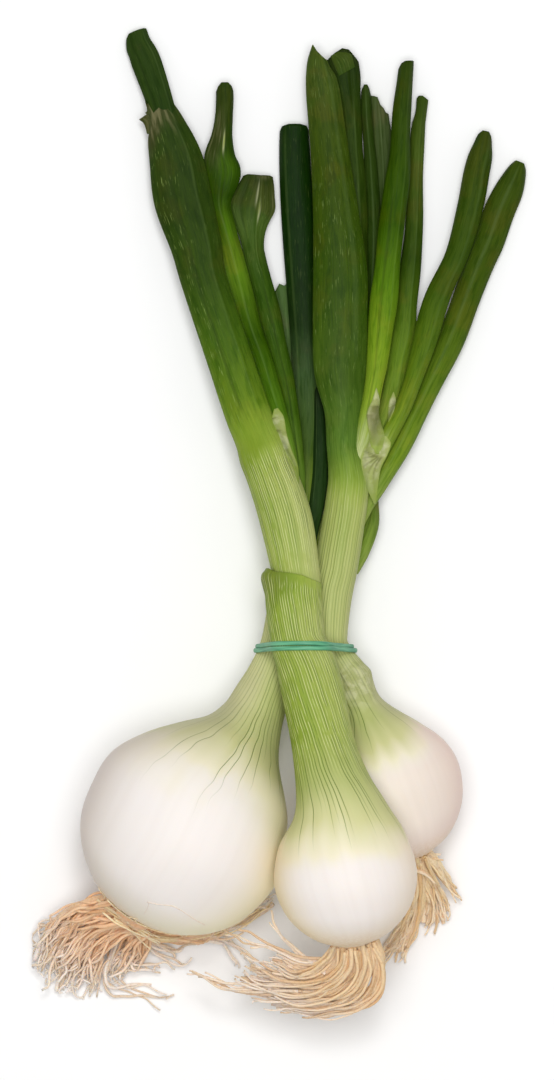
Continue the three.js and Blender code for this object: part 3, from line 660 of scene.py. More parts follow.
def section(spine, turn, grow=0.0, shift=0.0, pinch=0.0):
    """Rings of points round a spine. grow moves them outwards and shift moves them along. pinch
    turns the oval into a lens with thin edges."""
    angle = (turn - 0.5) * 2 * math.pi
    right = np.sin(angle)
    up = np.cos(angle)
    wide = spine.wide[:, None]
    thick = spine.thick[:, None]
    size = np.hypot(right * thick, up * wide)
    across = wide * right + grow * right * thick / size
    normal = thick * up * np.abs(up) ** pinch + grow * up * wide / size
    return (
        spine.centre[:, None]
        + across[..., None] * spine.across[:, None]
        + normal[..., None] * spine.normal[:, None]
        + (np.zeros_like(across) + shift)[..., None] * spine.tangent[:, None]
    )


# ---------------- meshes
WAY_UNIT = 100  # the materials count the way along a tube in this many millimetres


class Shells:
    """Closed shells of quads, gathered into one Blender object."""

    def __init__(self):
        self.points = []
        self.faces = []
        self.corners = []
        self.paint = {}
        self.count = 0

    def tube(self, rings, turn, along, loop=False, twist=0.0, **paint):
        """A tube of rings of points, closed at both ends or, as a loop, with its ends joined.
        along and the paint may differ within a ring. twist winds the skin's pattern round it, by
        so many turns in a millimetre."""
        ring_count, sides = rings.shape[:2]
        along = np.broadcast_to(np.asarray(along, float) / WAY_UNIT, (ring_count, sides))
        first = self.count
        index = first + np.arange(ring_count * sides).reshape(ring_count, sides)
        rows = np.vstack([index, index[:1]]) if loop else index
        ways = np.vstack([along, 2 * along[-1:] - along[-2:-1]]) if loop else along
        rows = np.hstack([rows, rows[:, :1]])
        ways = np.hstack([ways, ways[:, :1]])
        edges = np.append(turn, turn[0] + 1)
        places = np.stack([edges + twist * WAY_UNIT * ways, ways], axis=-1)
        for grid, store in ((rows, self.faces), (places, self.corners)):
            corners = [grid[:-1, :-1], grid[:-1, 1:], grid[1:, 1:], grid[1:, :-1]]
            store.extend(np.stack(corners, axis=2).reshape(-1, 4, *grid.shape[2:]))
        self.points.append(rings.reshape(-1, 3))
        self.count += ring_count * sides
        ends = []
        if not loop:
            self.cap(rows[0][::-1], places[0][::-1], rings[0].mean(axis=0))
            self.cap(rows[-1], places[-1], rings[-1].mean(axis=0))
            ends = [0, -1]
        for name, values in paint.items():
            values = np.broadcast_to(np.asarray(values, float), (ring_count, sides))
            middles = [values[end].mean() for end in ends]
            self.paint.setdefault(name, []).append((first, [*values.ravel(), *middles]))

    def cap(self, ring, places, centre):
        """A fan of triangles from a closed ring of points to its centre."""
        middles = (places[1:] + places[:-1]) / 2
        for side in range(len(ring) - 1):
            self.faces.append(np.array([ring[side], ring[side + 1], self.count]))
            self.corners.append(np.stack([places[side], places[side + 1], middles[side]]))
        self.points.append(centre[None])
        self.count += 1

    def write(self, name, material, slot):
        """Makes the object, which stands for the frame's node of that name and rides with it."""
        mesh = bpy.data.meshes.new(name)
        points = np.clip(np.vstack(self.points), LOWEST, HIGHEST)
        faces = [face.tolist() for face in self.faces]
        mesh.from_pydata((points * MM).tolist(), [], faces)
        layer = mesh.uv_layers.new(name="skin")
        layer.data.foreach_set("uv", np.concatenate(self.corners).ravel().astype(np.float32))
        for key, parts in self.paint.items():
            values = np.zeros(self.count, np.float32)
            for first, part in parts:
                values[first : first + len(part)] = part
            mesh.attributes.new(key, "FLOAT", "POINT").data.foreach_set("value", values)
        mesh.polygons.foreach_set("use_smooth", [True] * len(mesh.polygons))
        mesh.materials.append(material)
        mesh.update()
        piece = bpy.data.objects.new(name, mesh)
        bpy.context.collection.objects.link(piece)
        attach(piece, "root")
        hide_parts(name)


class Relief:
    """Finds the surface that the camera sees, of the shells given to it."""

    def __init__(self, all_shells):
        points = []
        faces = []
        for shells in all_shells:
            first = len(points)
            points.extend(np.vstack(shells.points).tolist())
            faces.extend((face + first).tolist() for face in shells.faces)
        self.tree = BVHTree.FromPolygons(points, faces)

    def height(self, across, down, otherwise):
        eye = Vector((0, CAMERA_Y, CAMERA_HEIGHT))
        aim = Vector(seen([across, down, 0.0]))
        hit = self.tree.ray_cast(eye, aim - eye)[0]
        return otherwise if hit is None else hit.z


# ---------------- shader tools
def rgb(red, green, blue):
    """A colour as seen on a screen, 0 to 255, turned into Blender's linear colour."""
    screen = np.array([red, green, blue]) / 255
    linear = np.where(screen <= 0.04045, screen / 12.92, ((screen + 0.055) / 1.055) ** 2.4)
    return (*linear.tolist(), 1.0)


class Shader:
    """Adds nodes to one material. Each method returns the socket with its result."""

    def __init__(self, name):
        self.material = bpy.data.materials.new(name)
        self.material.use_nodes = True
        self.tree = self.material.node_tree
        self.surface = self.tree.nodes["Principled BSDF"]

    def add(self, kind, values=(), output=0, **settings):
        node = self.tree.nodes.new("ShaderNode" + kind)
        for key, value in settings.items():
            setattr(node, key, value)
        for key, value in dict(values).items():
            self.put(node.inputs[key], value)
        return node.outputs[output]

    def put(self, socket, value):
        if isinstance(value, bpy.types.NodeSocket):
            self.tree.links.new(value, socket)
        else:
            socket.default_value = value

    def paint(self, name):
        return self.add("Attribute", output="Fac", attribute_name=name)

    def math(self, operation, *values):
        return self.add("Math", enumerate(values), operation=operation)

    def times(self, *values):
        product = values[0]
        for value in values[1:]:
            product = self.math("MULTIPLY", product, value)
        return product

    def mix(self, share, first, second, how="MIX"):
        values = {0: share, 6: first, 7: second}
        return self.add("Mix", values, output=2, data_type="RGBA", blend_type=how)

    def tint(self, colour, *tints):
        """Multiplies a colour by each tint, by its share."""
        for share, tint in tints:
            colour = self.mix(share, colour, (*tint, 1), "MULTIPLY")
        return colour

    def cover(self, colour, *layers):
        """Lays other colours over a colour, each by its share."""
        for share, layer in layers:
            colour = self.mix(share, colour, layer)
        return colour

    def blend(self, share, first, second):
        return self.add("Mix", {0: share, 2: first, 3: second}, data_type="FLOAT")

    def rise(self, value, low, high, to_low=0.0, to_high=1.0):
        values = {"Value": value, "From Min": low, "From Max": high}
        values.update({"To Min": to_low, "To Max": to_high})
        return self.add("MapRange", values, interpolation_type="SMOOTHSTEP")

    def vector(self, x, y, z):
        return self.add("CombineXYZ", {0: x, 1: y, 2: z})

    def noise(self, scale, detail=2.0, vector=None):
        """Noise in space, where scale counts its bumps in a metre, or on the given vector."""
        place = vector or self.add("TexCoord", output="Object")
        return self.add("TexNoise", {"Vector": place, "Scale": scale, "Detail": detail})

    def chance(self, x, y):
        """A random number for each whole x."""
        return self.add("TexWhiteNoise", {"Vector": self.vector(x, y, 0.0)})

    def ramp(self, value, stops):
        """A colour for each value, through [place, colour] stops."""
        node = self.tree.nodes.new("ShaderNodeValToRGB")
        self.put(node.inputs[0], value)
        elements = node.color_ramp.elements
        while len(elements) < len(stops):
            elements.new(0.5)
        for element, (place, _) in zip(elements, stops):
            element.position = place
        for element, (_, colour) in zip(elements, stops):
            element.color = rgb(*colour)
        return node.outputs[0]

    def bump(self, height, distance):
        """distance is in millimetres."""
        return self.add("Bump", {"Height": height, "Distance": distance * MM, "Strength": 1.0})

    def finish(self, **values):
        for key, value in values.items():
            self.put(self.surface.inputs[key.replace("_", " ")], value)
        return self.material


class TubeShader(Shader):
    """A material for tubes. It has the place on the tube: its turn, from 0 to 1, and its way
    along, in units of WAY_UNIT."""

    def __init__(self, name):
        super().__init__(name)
        place = self.add("UVMap", uv_map="skin")
        self.turn = self.add("SeparateXYZ", {0: place}, 0)
        self.along = self.add("SeparateXYZ", {0: place}, 1)

    def streaks(self, around, length, seed):
        """Noise drawn out along the tube: around counts its streaks round it, and length those
        in one WAY_UNIT."""
        x = self.math("MULTIPLY", self.turn, float(around))
        y = self.math("MULTIPLY", self.along, float(length))
        return self.noise(1.0, 3.0, self.vector(x, y, float(seed)))


# ---------------- colours of the plant
LINE_WIDTH = 0.26  # half the width of a fine line on the skin, in millimetres
FIBRE_HEIGHT = 0.14  # relief of the stem's lines and the leaf's fibres, in millimetres
FLESH_RADIUS = (1.0, 0.7, 0.4)  # how far red, green and blue light go through flesh, as shares


def lines(s, turn, count, seed, loose):
    """Fine lines along a tube, one in each of count cells round it, out of its cell's middle by
    up to loose. The girth is in millimetres. Returns the lines' strength and a random number for
    each."""
    scaled = s.math("MULTIPLY", turn, float(count))
    cell = s.math("FLOOR", scaled)
    middle = s.math("MULTIPLY_ADD", s.chance(cell, seed + 0.5), 2 * loose, 0.5 - loose)
    away = s.math("ABSOLUTE", s.math("SUBTRACT", s.math("FRACT", scaled), middle))
    width = s.math("DIVIDE", count * LINE_WIDTH, s.paint("girth"))
    return s.rise(s.math("DIVIDE", away, width), 1.0, 0.2), s.chance(cell, seed)


def leaf_colour(s, leaf, seed):
    """Green with lengthwise fibres, dull waxy patches, pale flecks, and dry or bright patches.
    Also returns the fibres."""
    fibre = s.streaks(110, 9, seed)
    broad = s.streaks(12, 1.5, seed + 1)
    mottle = s.streaks(22, 11, seed + 2)
    dull = s.rise(s.noise(80.0, 5.0), 0.5, 0.64)
    colour = s.tint(
        s.ramp(s.paint("reach"), leaf["colours"]),
        (s.rise(fibre, 0.5, 0.34), (0.8, 0.83, 0.78)),
        (s.rise(fibre, 0.52, 0.7), (1.16, 1.13, 1.1)),
        (s.rise(broad, 0.5, 0.7), (1.25, 1.16, 1.2)),
        (s.rise(mottle, 0.52, 0.36), (0.74, 0.82, 0.6)),
        (s.times(dull, s.rise(s.paint("reach"), 0.1, 0.6, 0.3, 1.0)), (1.3, 1.02, 1.2)),
    )
    vivid = s.tint(rgb(84, 124, 8), (s.rise(broad, 0.35, 0.6), (1.2, 1.2, 1.2)))
    flecked = s.paint("flecked")
    crowd = s.math("MULTIPLY_ADD", flecked, 0.07, s.streaks(130, 16, seed + 5))
    crease = s.paint("crease")
    brown = s.streaks(34, 9, seed + 9)
    dry = s.mix(s.rise(brown, 0.42, 0.66), rgb(60, 64, 30), rgb(116, 112, 78))
    pale = s.mix(s.rise(brown, 0.3, 0.6), rgb(150, 162, 84), rgb(206, 208, 166))
    colour = s.cover(
        colour,
        (s.times(s.paint("bright"), s.rise(fibre, 0.2, 0.6)), vivid),
        (s.times(s.rise(crowd, 0.64, 0.7), s.rise(flecked, 0.0, 0.5), 0.7), rgb(136, 158, 84)),
        # painted light on the creases: a highlight on ridges and shade in grooves
        (s.times(s.rise(crease, 0.05, 1.0), 0.1), rgb(118, 142, 84)),
        (s.times(s.rise(crease, -0.05, -1.0), 0.3), rgb(22, 36, 6)),
        (s.times(s.paint("dry"), 0.85), dry),
        (s.paint("pale"), pale),
        (s.paint("inside"), rgb(136, 160, 92)),
    )
    return colour, fibre


def skin_lines(s, onion):
    """The strengths of the stem's pale lines, and of its dark ones, which go on as veins."""
    seed = onion["seed"]
    count = onion["lines"]
    wander = s.math("MULTIPLY_ADD", s.noise(70.0, 1.0), 0.034 - 0.022 * onion["lined"], s.turn)
    dash = s.rise(s.streaks(40, 14, seed + 1), 0.32, 0.54)
    share = s.paint("lines")
    pale, chance = lines(s, s.math("ADD", wander, 0.5 / count), count, seed, 0.14)
    pale = s.times(pale, dash, share, s.rise(chance, 0.0, 0.6, 0.2, 0.8))
    dark, chance = lines(s, wander, count, seed + 2, 0.2)
    low, high = onion["vein_ends"]
    end = s.math("MULTIPLY_ADD", chance, (high - low) / WAY_UNIT, low / WAY_UNIT)
    shown = s.rise(s.math("SUBTRACT", s.along, end), 0.0, 0.16)
    weight = s.math("MAXIMUM", s.times(dash, share, 0.7), s.times(s.paint("vein"), 0.85))
    return pale, s.times(dark, shown, weight, s.rise(chance, 0.2, 1.0, 1.0, 0.45))


def stem_colour(s, onion):
    """From the bulb's white through the neck's veins to the stem's fine lines. Also returns the
    lines' relief."""
    seed = onion["seed"]
    uneven = s.math("MULTIPLY_ADD", s.noise(40.0), 0.14, -0.07)
    green = s.math("ADD", s.paint("green"), uneven)
    white = s.mix(s.paint("pink"), rgb(238, 232, 228), rgb(233, 217, 202))
    colour = s.mix(s.rise(green, 0.13, 0.0), s.ramp(green, SKIN_GREENS), white)
    colour = s.tint(colour, (s.rise(s.streaks(45, 1.5, seed + 7), 0.4, 0.7), (0.98, 0.975, 0.97)))
    band = s.rise(s.streaks(9, 2, seed), 0.45, 0.7)
    pale, dark = skin_lines(s, onion)
    # edge: the bulb's cream at its sides, with painted shade on the left onion's left side and painted
    # light on its right flank
    edge = s.mix(s.paint("right"), *(rgb(*edge_colour) for edge_colour in onion["edge"]))
    colour = s.cover(
        colour,
        (s.times(band, s.rise(green, 0.45, 0.75), 0.45), rgb(122, 148, 56)),
        (pale, rgb(210, 217, 148)),
        (dark, rgb(104, 128, 50)),
        # the sides' colour, partly painted shade and painted light
        (s.times(s.paint("sideways"), s.rise(green, 0.34, 0.08), 0.85), edge),
    )
    # painted shade: the skin is darker and warmer where it faces sideways
    colour = s.tint(colour, (s.paint("sideways"), (0.98, 0.96, 0.93)))
    tan = s.mix(s.rise(s.noise(900.0, 4.0), 0.3, 0.7), rgb(226, 196, 158), rgb(240, 222, 198))
    papery = s.mix(s.rise(s.noise(260.0, 3.0), 0.4, 0.62), rgb(160, 164, 110), rgb(196, 195, 156))
    colour = s.cover(
        colour,
        # painted shade: dusk patches darken the skin to a grey olive
        (s.paint("dusk"), rgb(178, 174, 138)),
        (s.times(s.paint("base"), 0.6), tan),
        (s.paint("papery"), papery),
        # painted shade in the skins' folds and just below the sheath's cut rim
        (s.times(s.paint("folds_and_shade"), 0.8), rgb(98, 100, 52)),
        (s.paint("inside"), rgb(160, 174, 96)),
    )
    return colour, s.math("SUBTRACT", pale, dark)


def onion_material(onion):
    s = TubeShader(onion["name"])
    skin, ridge = stem_colour(s, onion)
    leaf, fibre = leaf_colour(s, onion, onion["seed"])
    share = s.paint("leaf")
    stem_height = s.math("MULTIPLY_ADD", s.noise(300.0), 0.12, ridge)
    return s.finish(
        Base_Color=s.mix(share, skin, leaf),
        Roughness=s.blend(share, 0.4, 0.5),
        Specular_IOR_Level=0.07,
        Subsurface_Weight=0.1,
        Subsurface_Radius=FLESH_RADIUS,
        Subsurface_Scale=0.003,
        Normal=s.bump(s.blend(share, stem_height, fibre), FIBRE_HEIGHT),
    )


def leaf_material(leaf, seed):
    s = TubeShader(leaf["name"])
    colour, fibre = leaf_colour(s, leaf, seed)
    return s.finish(
        Base_Color=colour,
        Roughness=s.rise(fibre, 0.3, 0.7, 0.4, 0.55),
        Specular_IOR_Level=0.05,
        Normal=s.bump(fibre, FIBRE_HEIGHT),
    )


def root_material(tuft):
    s = Shader(tuft["name"])
    shade = s.paint("shade")
    grain = s.noise(900.0, 3.0)
    colour = s.mix(s.rise(s.paint("way"), 0.3, 0.95), rgb(*tuft["colour"]), rgb(*tuft["tip"]))
    colour = s.tint(
        s.mix(s.paint("straw"), colour, rgb(252, 228, 184)),
        (s.rise(shade, 0.5, 0.0), (0.8, 0.72, 0.62)),
        (s.rise(shade, 0.6, 1.0), (1.04, 1.07, 1.12)),
        (s.rise(grain, 0.5, 0.3), (0.9, 0.84, 0.76)),
    )
    return s.finish(
        Base_Color=colour,
        Roughness=0.6,
        Specular_IOR_Level=0.3,
        Subsurface_Weight=0.3,
        Subsurface_Radius=FLESH_RADIUS,
        Subsurface_Scale=0.002,
        Normal=s.bump(grain, 0.05),
    )


def band_material():
    s = TubeShader("rubber_band")
    colour = s.mix(s.rise(s.streaks(5, 8, 3), 0.3, 0.7), rgb(64, 138, 104), rgb(112, 184, 140))
    return s.finish(
        Base_Color=colour,
        Roughness=0.48,
        Specular_IOR_Level=0.4,
        Normal=s.bump(s.noise(1500.0), 0.05),
    )


# ---------------- making the onions
ONION_SIDES = 240
RINGS_PER_STATION = 9
WALL = 0.55  # thickness of a hollow leaf's wall
HOLLOW_DEPTH = 16  # how far the hollow of a cut leaf is modelled
END_REACH = 14  # length of leaf over which its cut end takes its shape
PINCH = 0.5  # how far a leaf's section goes from an oval to a lens
FRONT_TRIM = 0.45  # the front bulb's skin stays this much below its solid's rounding
BUMP_HEIGHT = 0.3
RIB_HEIGHT = 0.13


def bulb_line(bulb):
    """The bulb's underside: a quarter of an oval turned about the line from plate to belly."""
    belly = np.array(bulb["belly"], float)
    plate = np.array(bulb["plate"], float)
    rows = []
    for degrees in BULB_ARC_DEGREES:
        angle = math.radians(degrees)
        point = belly + (plate - belly) * math.cos(angle)
        rows.append([*point, bulb["radius"] * math.sin(angle)])
    return [*rows, [*belly, bulb["radius"]]]


def add_hollow(shells, spine, turn, depth, inner, outer, paint, twist=0.0):
    """A tube whose end is open: its outside, and the hollow of the given depth behind its rim."""
    inside = np.flatnonzero(spine.length - spine.along <= depth)[::-1]
    rings = np.concatenate([outer, inner[inside]])
    along = np.concatenate([spine.way, spine.way[inside]])[:, None]
    full = {"inside": np.concatenate([np.zeros(outer.shape[:2]), np.ones(inner[inside].shape[:2])])}
    for name, values in paint.items():
        values = np.broadcast_to(values, outer.shape[:2])
        full[name] = np.concatenate([values, values[inside]])
    shells.tube(rings, turn, along, twist=twist, **full)


def add_leaf(shells, spine, turn, grow, cut, pinch, paint):
    """A hollow leaf, whose end is cut to its outline."""
    near = 1 - smoothstep(spine.length - spine.along, 0, END_REACH)
    shift = near[:, None] * table(cut, place_across(turn))
    outer = section(spine, turn, grow, shift, pinch)
    inner = section(spine, turn, grow - WALL, shift, pinch)
    add_hollow(shells, spine, turn, HOLLOW_DEPTH, inner, outer, paint)


def crease_field(turn, reach, creases):
    """The creases' relief in millimetres, and their painted shade and highlight, from -1 in grooves to
    1 on ridges.
    """
    top = np.abs(turn - 0.5) <= 0.25
    relief = np.zeros((len(reach), len(turn)))
    paint = np.zeros_like(relief)
    for start, end, depth, width, low, high in creases:
        middle = start + (end - start) * reach[:, None]
        away = (place_across(turn) - middle) / width
        fade = smoothstep(reach, low - 0.05, low + 0.08) * smoothstep(reach, high + 0.05, high - 0.08)
        fade = fade[:, None] * top
        relief += depth * np.exp(-(away**2)) * fade
        paint += math.copysign(1, depth) * np.exp(-((away / 0.4) ** 2)) * fade
    return relief, np.clip(paint, -1, 1)


def patches(turn, reach, rows):
    """Soft patches of paint, of [share, place across, half length, half width, strength]."""
    side = place_across(turn)
    paint = np.zeros((len(reach), len(turn)))
    for share, place, length, width, strength in rows:
        away = ((reach[:, None] - share) / length) ** 2 + ((side - place) / width) ** 2
        paint = np.maximum(paint, strength * np.exp(-(away**1.5)))
    return paint


def skin_relief(onion, body, turn, stemness, crumpled):
    """How far an onion's skin stands out: soft bumps on the bulb, ribs on the stem, wrinkles."""
    rings = section(body, turn)
    bumps = BUMP_HEIGHT * (ripple(turn, 9, onion["seed"]) + waves(rings, 24, onion["seed"]))
    ribs = RIB_HEIGHT * onion["lined"] * ripple(turn, 2 * onion["lines"], onion["seed"])
    ribs = ribs + 0.12 * ripple(turn, 25, 7)
    wrinkles = 0.3 * ripple(turn, 70, 17) + 0.4 * waves(rings, 3.5, 18)
    grow = bumps * (1 - 0.6 * stemness) + ribs * stemness
    return grow + swellings(turn, body.way, onion.get("swellings", ())) + crumpled * wrinkles


def skin_paint(onion, body, turn, crumpled):
    """What an onion's material is told about each point of its skin."""
    side = place_across(turn)
    way = body.way[:, None]
    loose = 2.2 * ripple(turn, 40, onion["seed"] + 6) * smoothstep(way, 2, 12)
    green = table(onion["green"], way + loose)
    tinted = smoothstep(green, 0, 0.25)
    # sideways is where the material paints the sides' colour and their shade
    sideways = 1 - smoothstep(facing_up(section(body, turn)), 0.2, 0.9)
    flank = np.where(side < 0, *onion["flank"])
    green = green + flank * sideways * tinted * (1 - smoothstep(green, 0.4, 0.7))
    veined = 1 - 0.35 * smoothstep(way, 40, 60)
    return {
        "green": np.clip(green + table(onion["side"], way) * side * tinted, 0, 1),
        "pink": np.clip(onion["pink"] * (0.6 + 0.4 * side), 0, 1),
        "base": 1 - smoothstep(way, way[0] + 1, way[0] + 11),
        "sideways": sideways,
        "dusk": patches(turn, body.way, onion.get("dusk", ())),
        "papery": 0.75 * crumpled,
        "right": (1 + side) / 2,
        "vein": veined * smoothstep(green, 0, 0.18) * (1 - smoothstep(green, 0.62, 0.85)),
        "lines": smoothstep(way, 30, 46) * onion["lined"],
        "girth": 2 * math.pi * body.wide[:, None],
    }


def make_onion(onion):
    shells = Shells()
    turn = turns(ONION_SIDES)
    line = [*bulb_line(onion["bulb"]), *onion["tubes"][0]]
    body = Spine.through(line, len(line) * RINGS_PER_STATION)
    body.measure_from(onion["bulb"]["belly"])
    stemness = smoothstep(table(onion["green"], body.way), 0.2, 0.7)[:, None]
    crumpled = patches(turn, body.way, onion.get("crumpled", ()))
    grow = skin_relief(onion, body, turn, stemness, crumpled)
    paint = skin_paint(onion, body, turn, crumpled)
    if len(onion["tubes"]) == 1:
        add_single(shells, onion, body, turn, grow, paint)
    else:
        add_sheath(shells, body, turn, grow - FRONT_TRIM * (1 - stemness), paint)
        add_stem(shells, onion, turn)
    return shells


def leaf_paint(onion, turn, reach, leafy):
    """The relief of an onion's own leaf, and what the material is told about it."""
    relief, crease = crease_field(turn, reach, onion["creases"])
    relief = 0.8 * relief + 0.14 * ripple(turn, 8, onion["seed"] + 40)
    left, right = onion["flecked"]
    paint = {
        "leaf": leafy,
        "reach": reach[:, None],
        "crease": crease * leafy,
        "flecked": left + (right - left) * smoothstep(place_across(turn), -0.7, 0.3),
    }
    return relief * leafy, paint


def add_single(shells, onion, body, turn, grow, paint):
    """Bulb, stem and leaf in one."""
    start = onion["leaf"][0][0]
    reach = np.clip((body.way - start) / (body.way[-1] - start), 0, 1)
    leafy = table(onion["leaf"], body.way)[:, None]
    relief, more = leaf_paint(onion, turn, reach, leafy)
    paint.update(more)
    paint["lines"] = paint["lines"] * (1 - leafy)
    add_leaf(shells, body, turn, grow * (1 - leafy) + relief, onion["cut"], PINCH * leafy, paint)


SHEATH_WALL = 0.5
SHEATH_POCKET = 9  # depth of the gap between sheath and stem
SHEATH_FLARE = 2.2
SHEATH_DIP = 3.4  # how much lower the sheath's edge is at its right than at its left
SHEATH_TIP = 1.4  # how far the sheath's edge rises to a tip at the left
SHEATH_TWIST = 0.0014  # turns that the lines wind round the sheath in each millimetre


def add_sheath(shells, body, turn, grow, paint):
    """The outer sheath. Its cut edge stands away from the stem, most of all at the left."""
    side = place_across(turn)
    left = body.length - body.along
    near = (smoothstep(left, 9, 3) - 0.6 * smoothstep(left, 2.5, 0))[:, None]
    flare = SHEATH_FLARE * near * smoothstep(-side, 0.45, 1)
    reach = smoothstep(left, 14, 0)[:, None]
    tip = SHEATH_TIP * smoothstep(-side, 0.7, 1)
    uneven = reach * (0.5 * ripple(turn, 13, 41) + tip - SHEATH_DIP * (1 + side) / 2)
    fade = left[:, None] + 2 * ripple(turn, 60, 43)
    paint["lines"] = paint["lines"] * smoothstep(fade, 1.5, 5)
    # painted shade just below the sheath's cut rim, on its left side
    paint["folds_and_shade"] = 0.45 * smoothstep(left, 13, 3)[:, None] * smoothstep(-side, -0.1, 0.8)
    outer = section(body, turn, grow + flare, uneven)
    inner = section(body, turn, grow + flare - SHEATH_WALL, uneven)
    add_hollow(shells, body, turn, SHEATH_POCKET, inner, outer, paint, SHEATH_TWIST)


def add_stem(shells, onion, turn):
    """The stem that comes out of the sheath, and its torn leaf."""
    side = place_across(turn)
    line = onion["tubes"][1]
    stem = Spine.through(line, len(line) * RINGS_PER_STATION)
    way = stem.way[:, None]
    leafy = table(onion["leaf"], way)
    start = onion["leaf"][0][0]
    reach = np.clip((stem.way - start) / (stem.length - start), 0, 1)
    relief, paint = leaf_paint(onion, turn, reach, leafy)
    ribs = RIB_HEIGHT * ripple(turn, 2 * onion["lines"], 91) + 0.1 * ripple(turn, 25, 92)
    torn = stem.length - way + 6 * ripple(turn, 14, 94) + 4 * side
    knuckle = 0.5 * np.exp(-(((way - 55) / 4) ** 2))
    paint.update(
        green=np.clip(table(onion["stem_green"], way) + onion["side"][-1][1] * side, 0, 1),
        sideways=1 - smoothstep(facing_up(section(stem, turn)), 0.2, 0.9),
        right=(1 + side) / 2,
        lines=(1 - leafy) * smoothstep(way, 4, 9) * smoothstep(way, 58, 50),
        dry=smoothstep(torn, onion["dry"], 0.3 * onion["dry"]) * smoothstep(-side, -0.9, 0),
        girth=2 * math.pi * stem.wide[:, None],
    )
    grow = ribs * (1 - leafy) + relief + knuckle
    add_leaf(shells, stem, turn, grow, onion["cut"], PINCH * leafy, paint)


# ---------------- making the leaves
LEAF_SIDES = 120
LEAF_RINGS_PER_STATION = 10
LEAF_FLECKED = 0.12


def make_leaf(leaf, seed):
    shells = Shells()
    turn = turns(LEAF_SIDES)
    spine = Spine.through(leaf["line"], len(leaf["line"]) * LEAF_RINGS_PER_STATION)
    reach = spine.along / spine.length
    relief, crease = crease_field(turn, reach, leaf["creases"])
    grow = 0.7 * relief + 0.12 * ripple(turn, 8, seed) + 0.03 * ripple(turn, 40, seed + 50)
    grow = grow + 0.25 * waves(section(spine, turn), 13, seed)
    flecked = leaf.get("flecked", LEAF_FLECKED)
    paint = {"reach": reach[:, None], "crease": crease, "flecked": flecked}
    for kind in ("dry", "bright", "pale"):
        if kind in leaf:
            paint[kind] = patches(turn, reach, leaf[kind])
    pinch = PINCH * smoothstep(reach, 0.05, 0.4)[:, None]
    add_leaf(shells, spine, turn, grow, leaf["cut"], pinch, paint)
    return shells


# ---------------- making the thin skins
SKIN_ROWS = 40
SKIN_COLUMNS = 24
SKIN_THICKNESS = 0.4
SETTLE_ROUNDS = 60
SETTLE_DIP = 0.1  # how far a skin may dip into what is under it
FOLD_DEPTH = 0.3
FOLD_WIDTH = 0.36


def add_skin(shells, skin, relief, seed):
    """A thin sheet between its two edges, resting on what is under it."""
    way = np.linspace(0, 1, SKIN_ROWS)
    share = np.linspace(0, 1, SKIN_COLUMNS)
    left = curve(skin["left"], way)[:, None]
    right = curve(skin["right"], way)[:, None]
    place = left + (right - left) * share[None, :, None]
    height = np.empty(place.shape[:2])
    for row, column in np.ndindex(height.shape):
        height[row, column] = relief.height(*place[row, column], np.nan)
    height = settle(height)
    flat = seen(np.concatenate([place, height[..., None]], axis=-1))
    size = [np.linalg.norm(flat[0, 0] - flat[0, -1]), np.linalg.norm(flat[0, 0] - flat[-1, 0])]
    folds_and_shade = fold_field(share, way, size, skin.get("folds_and_shade", ()))
    edges = np.sin(math.pi * share)[None, :] * np.sin(math.pi * np.clip(way, 0.04, 0.96))[:, None]
    middle = np.clip(2 * edges, 0, 1) ** 0.5
    rise = skin["lift"] * middle + 0.02 + 0.06 * waves(flat, 3, seed) * middle
    top = flat + [0, 0, 1] * (rise - FOLD_DEPTH * folds_and_shade * middle)[..., None]
    under = (flat - [0, 0, SKIN_THICKNESS])[:, ::-1]
    turn = 0.25 + np.arange(2 * SKIN_COLUMNS) / (2 * SKIN_COLUMNS)
    rings = np.concatenate([top, under], axis=1)[::-1]
    along = np.linspace(0, size[1], SKIN_ROWS)[:, None] + WAY_UNIT * seed
    paint = dict(skin["paint"], girth=2 * size[0])
    papery = paint.get("papery", 0) * middle * (1 - 0.7 * smoothstep(way, 0.5, 0.9))[:, None]
    for name, field in (("folds_and_shade", folds_and_shade), ("papery", papery)):
        paint[name] = np.concatenate([field, field[:, ::-1]], axis=1)[::-1]
    shells.tube(rings, turn, along, **paint)


def settle(height):
    """Evens out the heights under a skin: it spans gaps and doesn't dip into them."""
    height = np.where(np.isnan(height), np.nanmedian(height), height)
    floor = height
    for _ in range(SETTLE_ROUNDS):
        padded = np.pad(height, 1, mode="edge")
        around = padded[:-2, 1:-1] + padded[2:, 1:-1] + padded[1:-1, :-2] + padded[1:-1, 2:]
        height = np.maximum(around / 4, floor - SETTLE_DIP)
    return height


def fold_field(share, way, size, folds_and_shade):
    """How near each point of a skin is to a fold, from 0 to 1 on it."""
    points = np.stack(np.broadcast_arrays(share[None, :] * size[0], way[:, None] * size[1]), axis=-1)
    near = np.zeros(points.shape[:2])
    for fold in folds_and_shade:
        start = np.array(fold[:2]) * size
        step = np.array(fold[2:]) * size - start
        part = np.clip((points - start) @ step / (step @ step), 0, 1)
        away = np.linalg.norm(points - start - part[..., None] * step, axis=-1)
        near = np.maximum(near, np.exp(-((away / FOLD_WIDTH) ** 2)) * (1 - 0.6 * part))
    return near


# ---------------- making the roots
ROOT_SIDES = 6
ROOT_RINGS = 28
ROOT_RADIUS = 0.76
ROOT_FLOOR = 0.25  # least height of a root's underside above the floor
STRAY_COUNT = 6  # a lock of fewer roots than this is of stray ones, in the tip's colour
TIP_WAY = 0.8  # the way of a root, or of a thread, that has nearly that colour from its start
STRAW_SIZE = 0.7
STRAW_TANGLE = 0.5
STRAW_TINT = 0.85
CORE_COUNT = 9  # a lock of this many roots or more has a core of thick, straighter ones
CORE_SHARE = 6  # one core root for each of so many
CORE_SIZE = 2.6
CORE_TANGLE = 0.3
CORE_SPREAD = 0.8
CORE_DROP = 1.6  # how far below the others the core's roots lie
WINDINGS = [(40, 1.5), (17, 0.7), (8, 0.22)]  # a root's waves: their length and height
CROWN_SIDES = 40
CROWN_RINGS = 30
THREAD_RINGS = 24
WHISKER_RINGS = 12


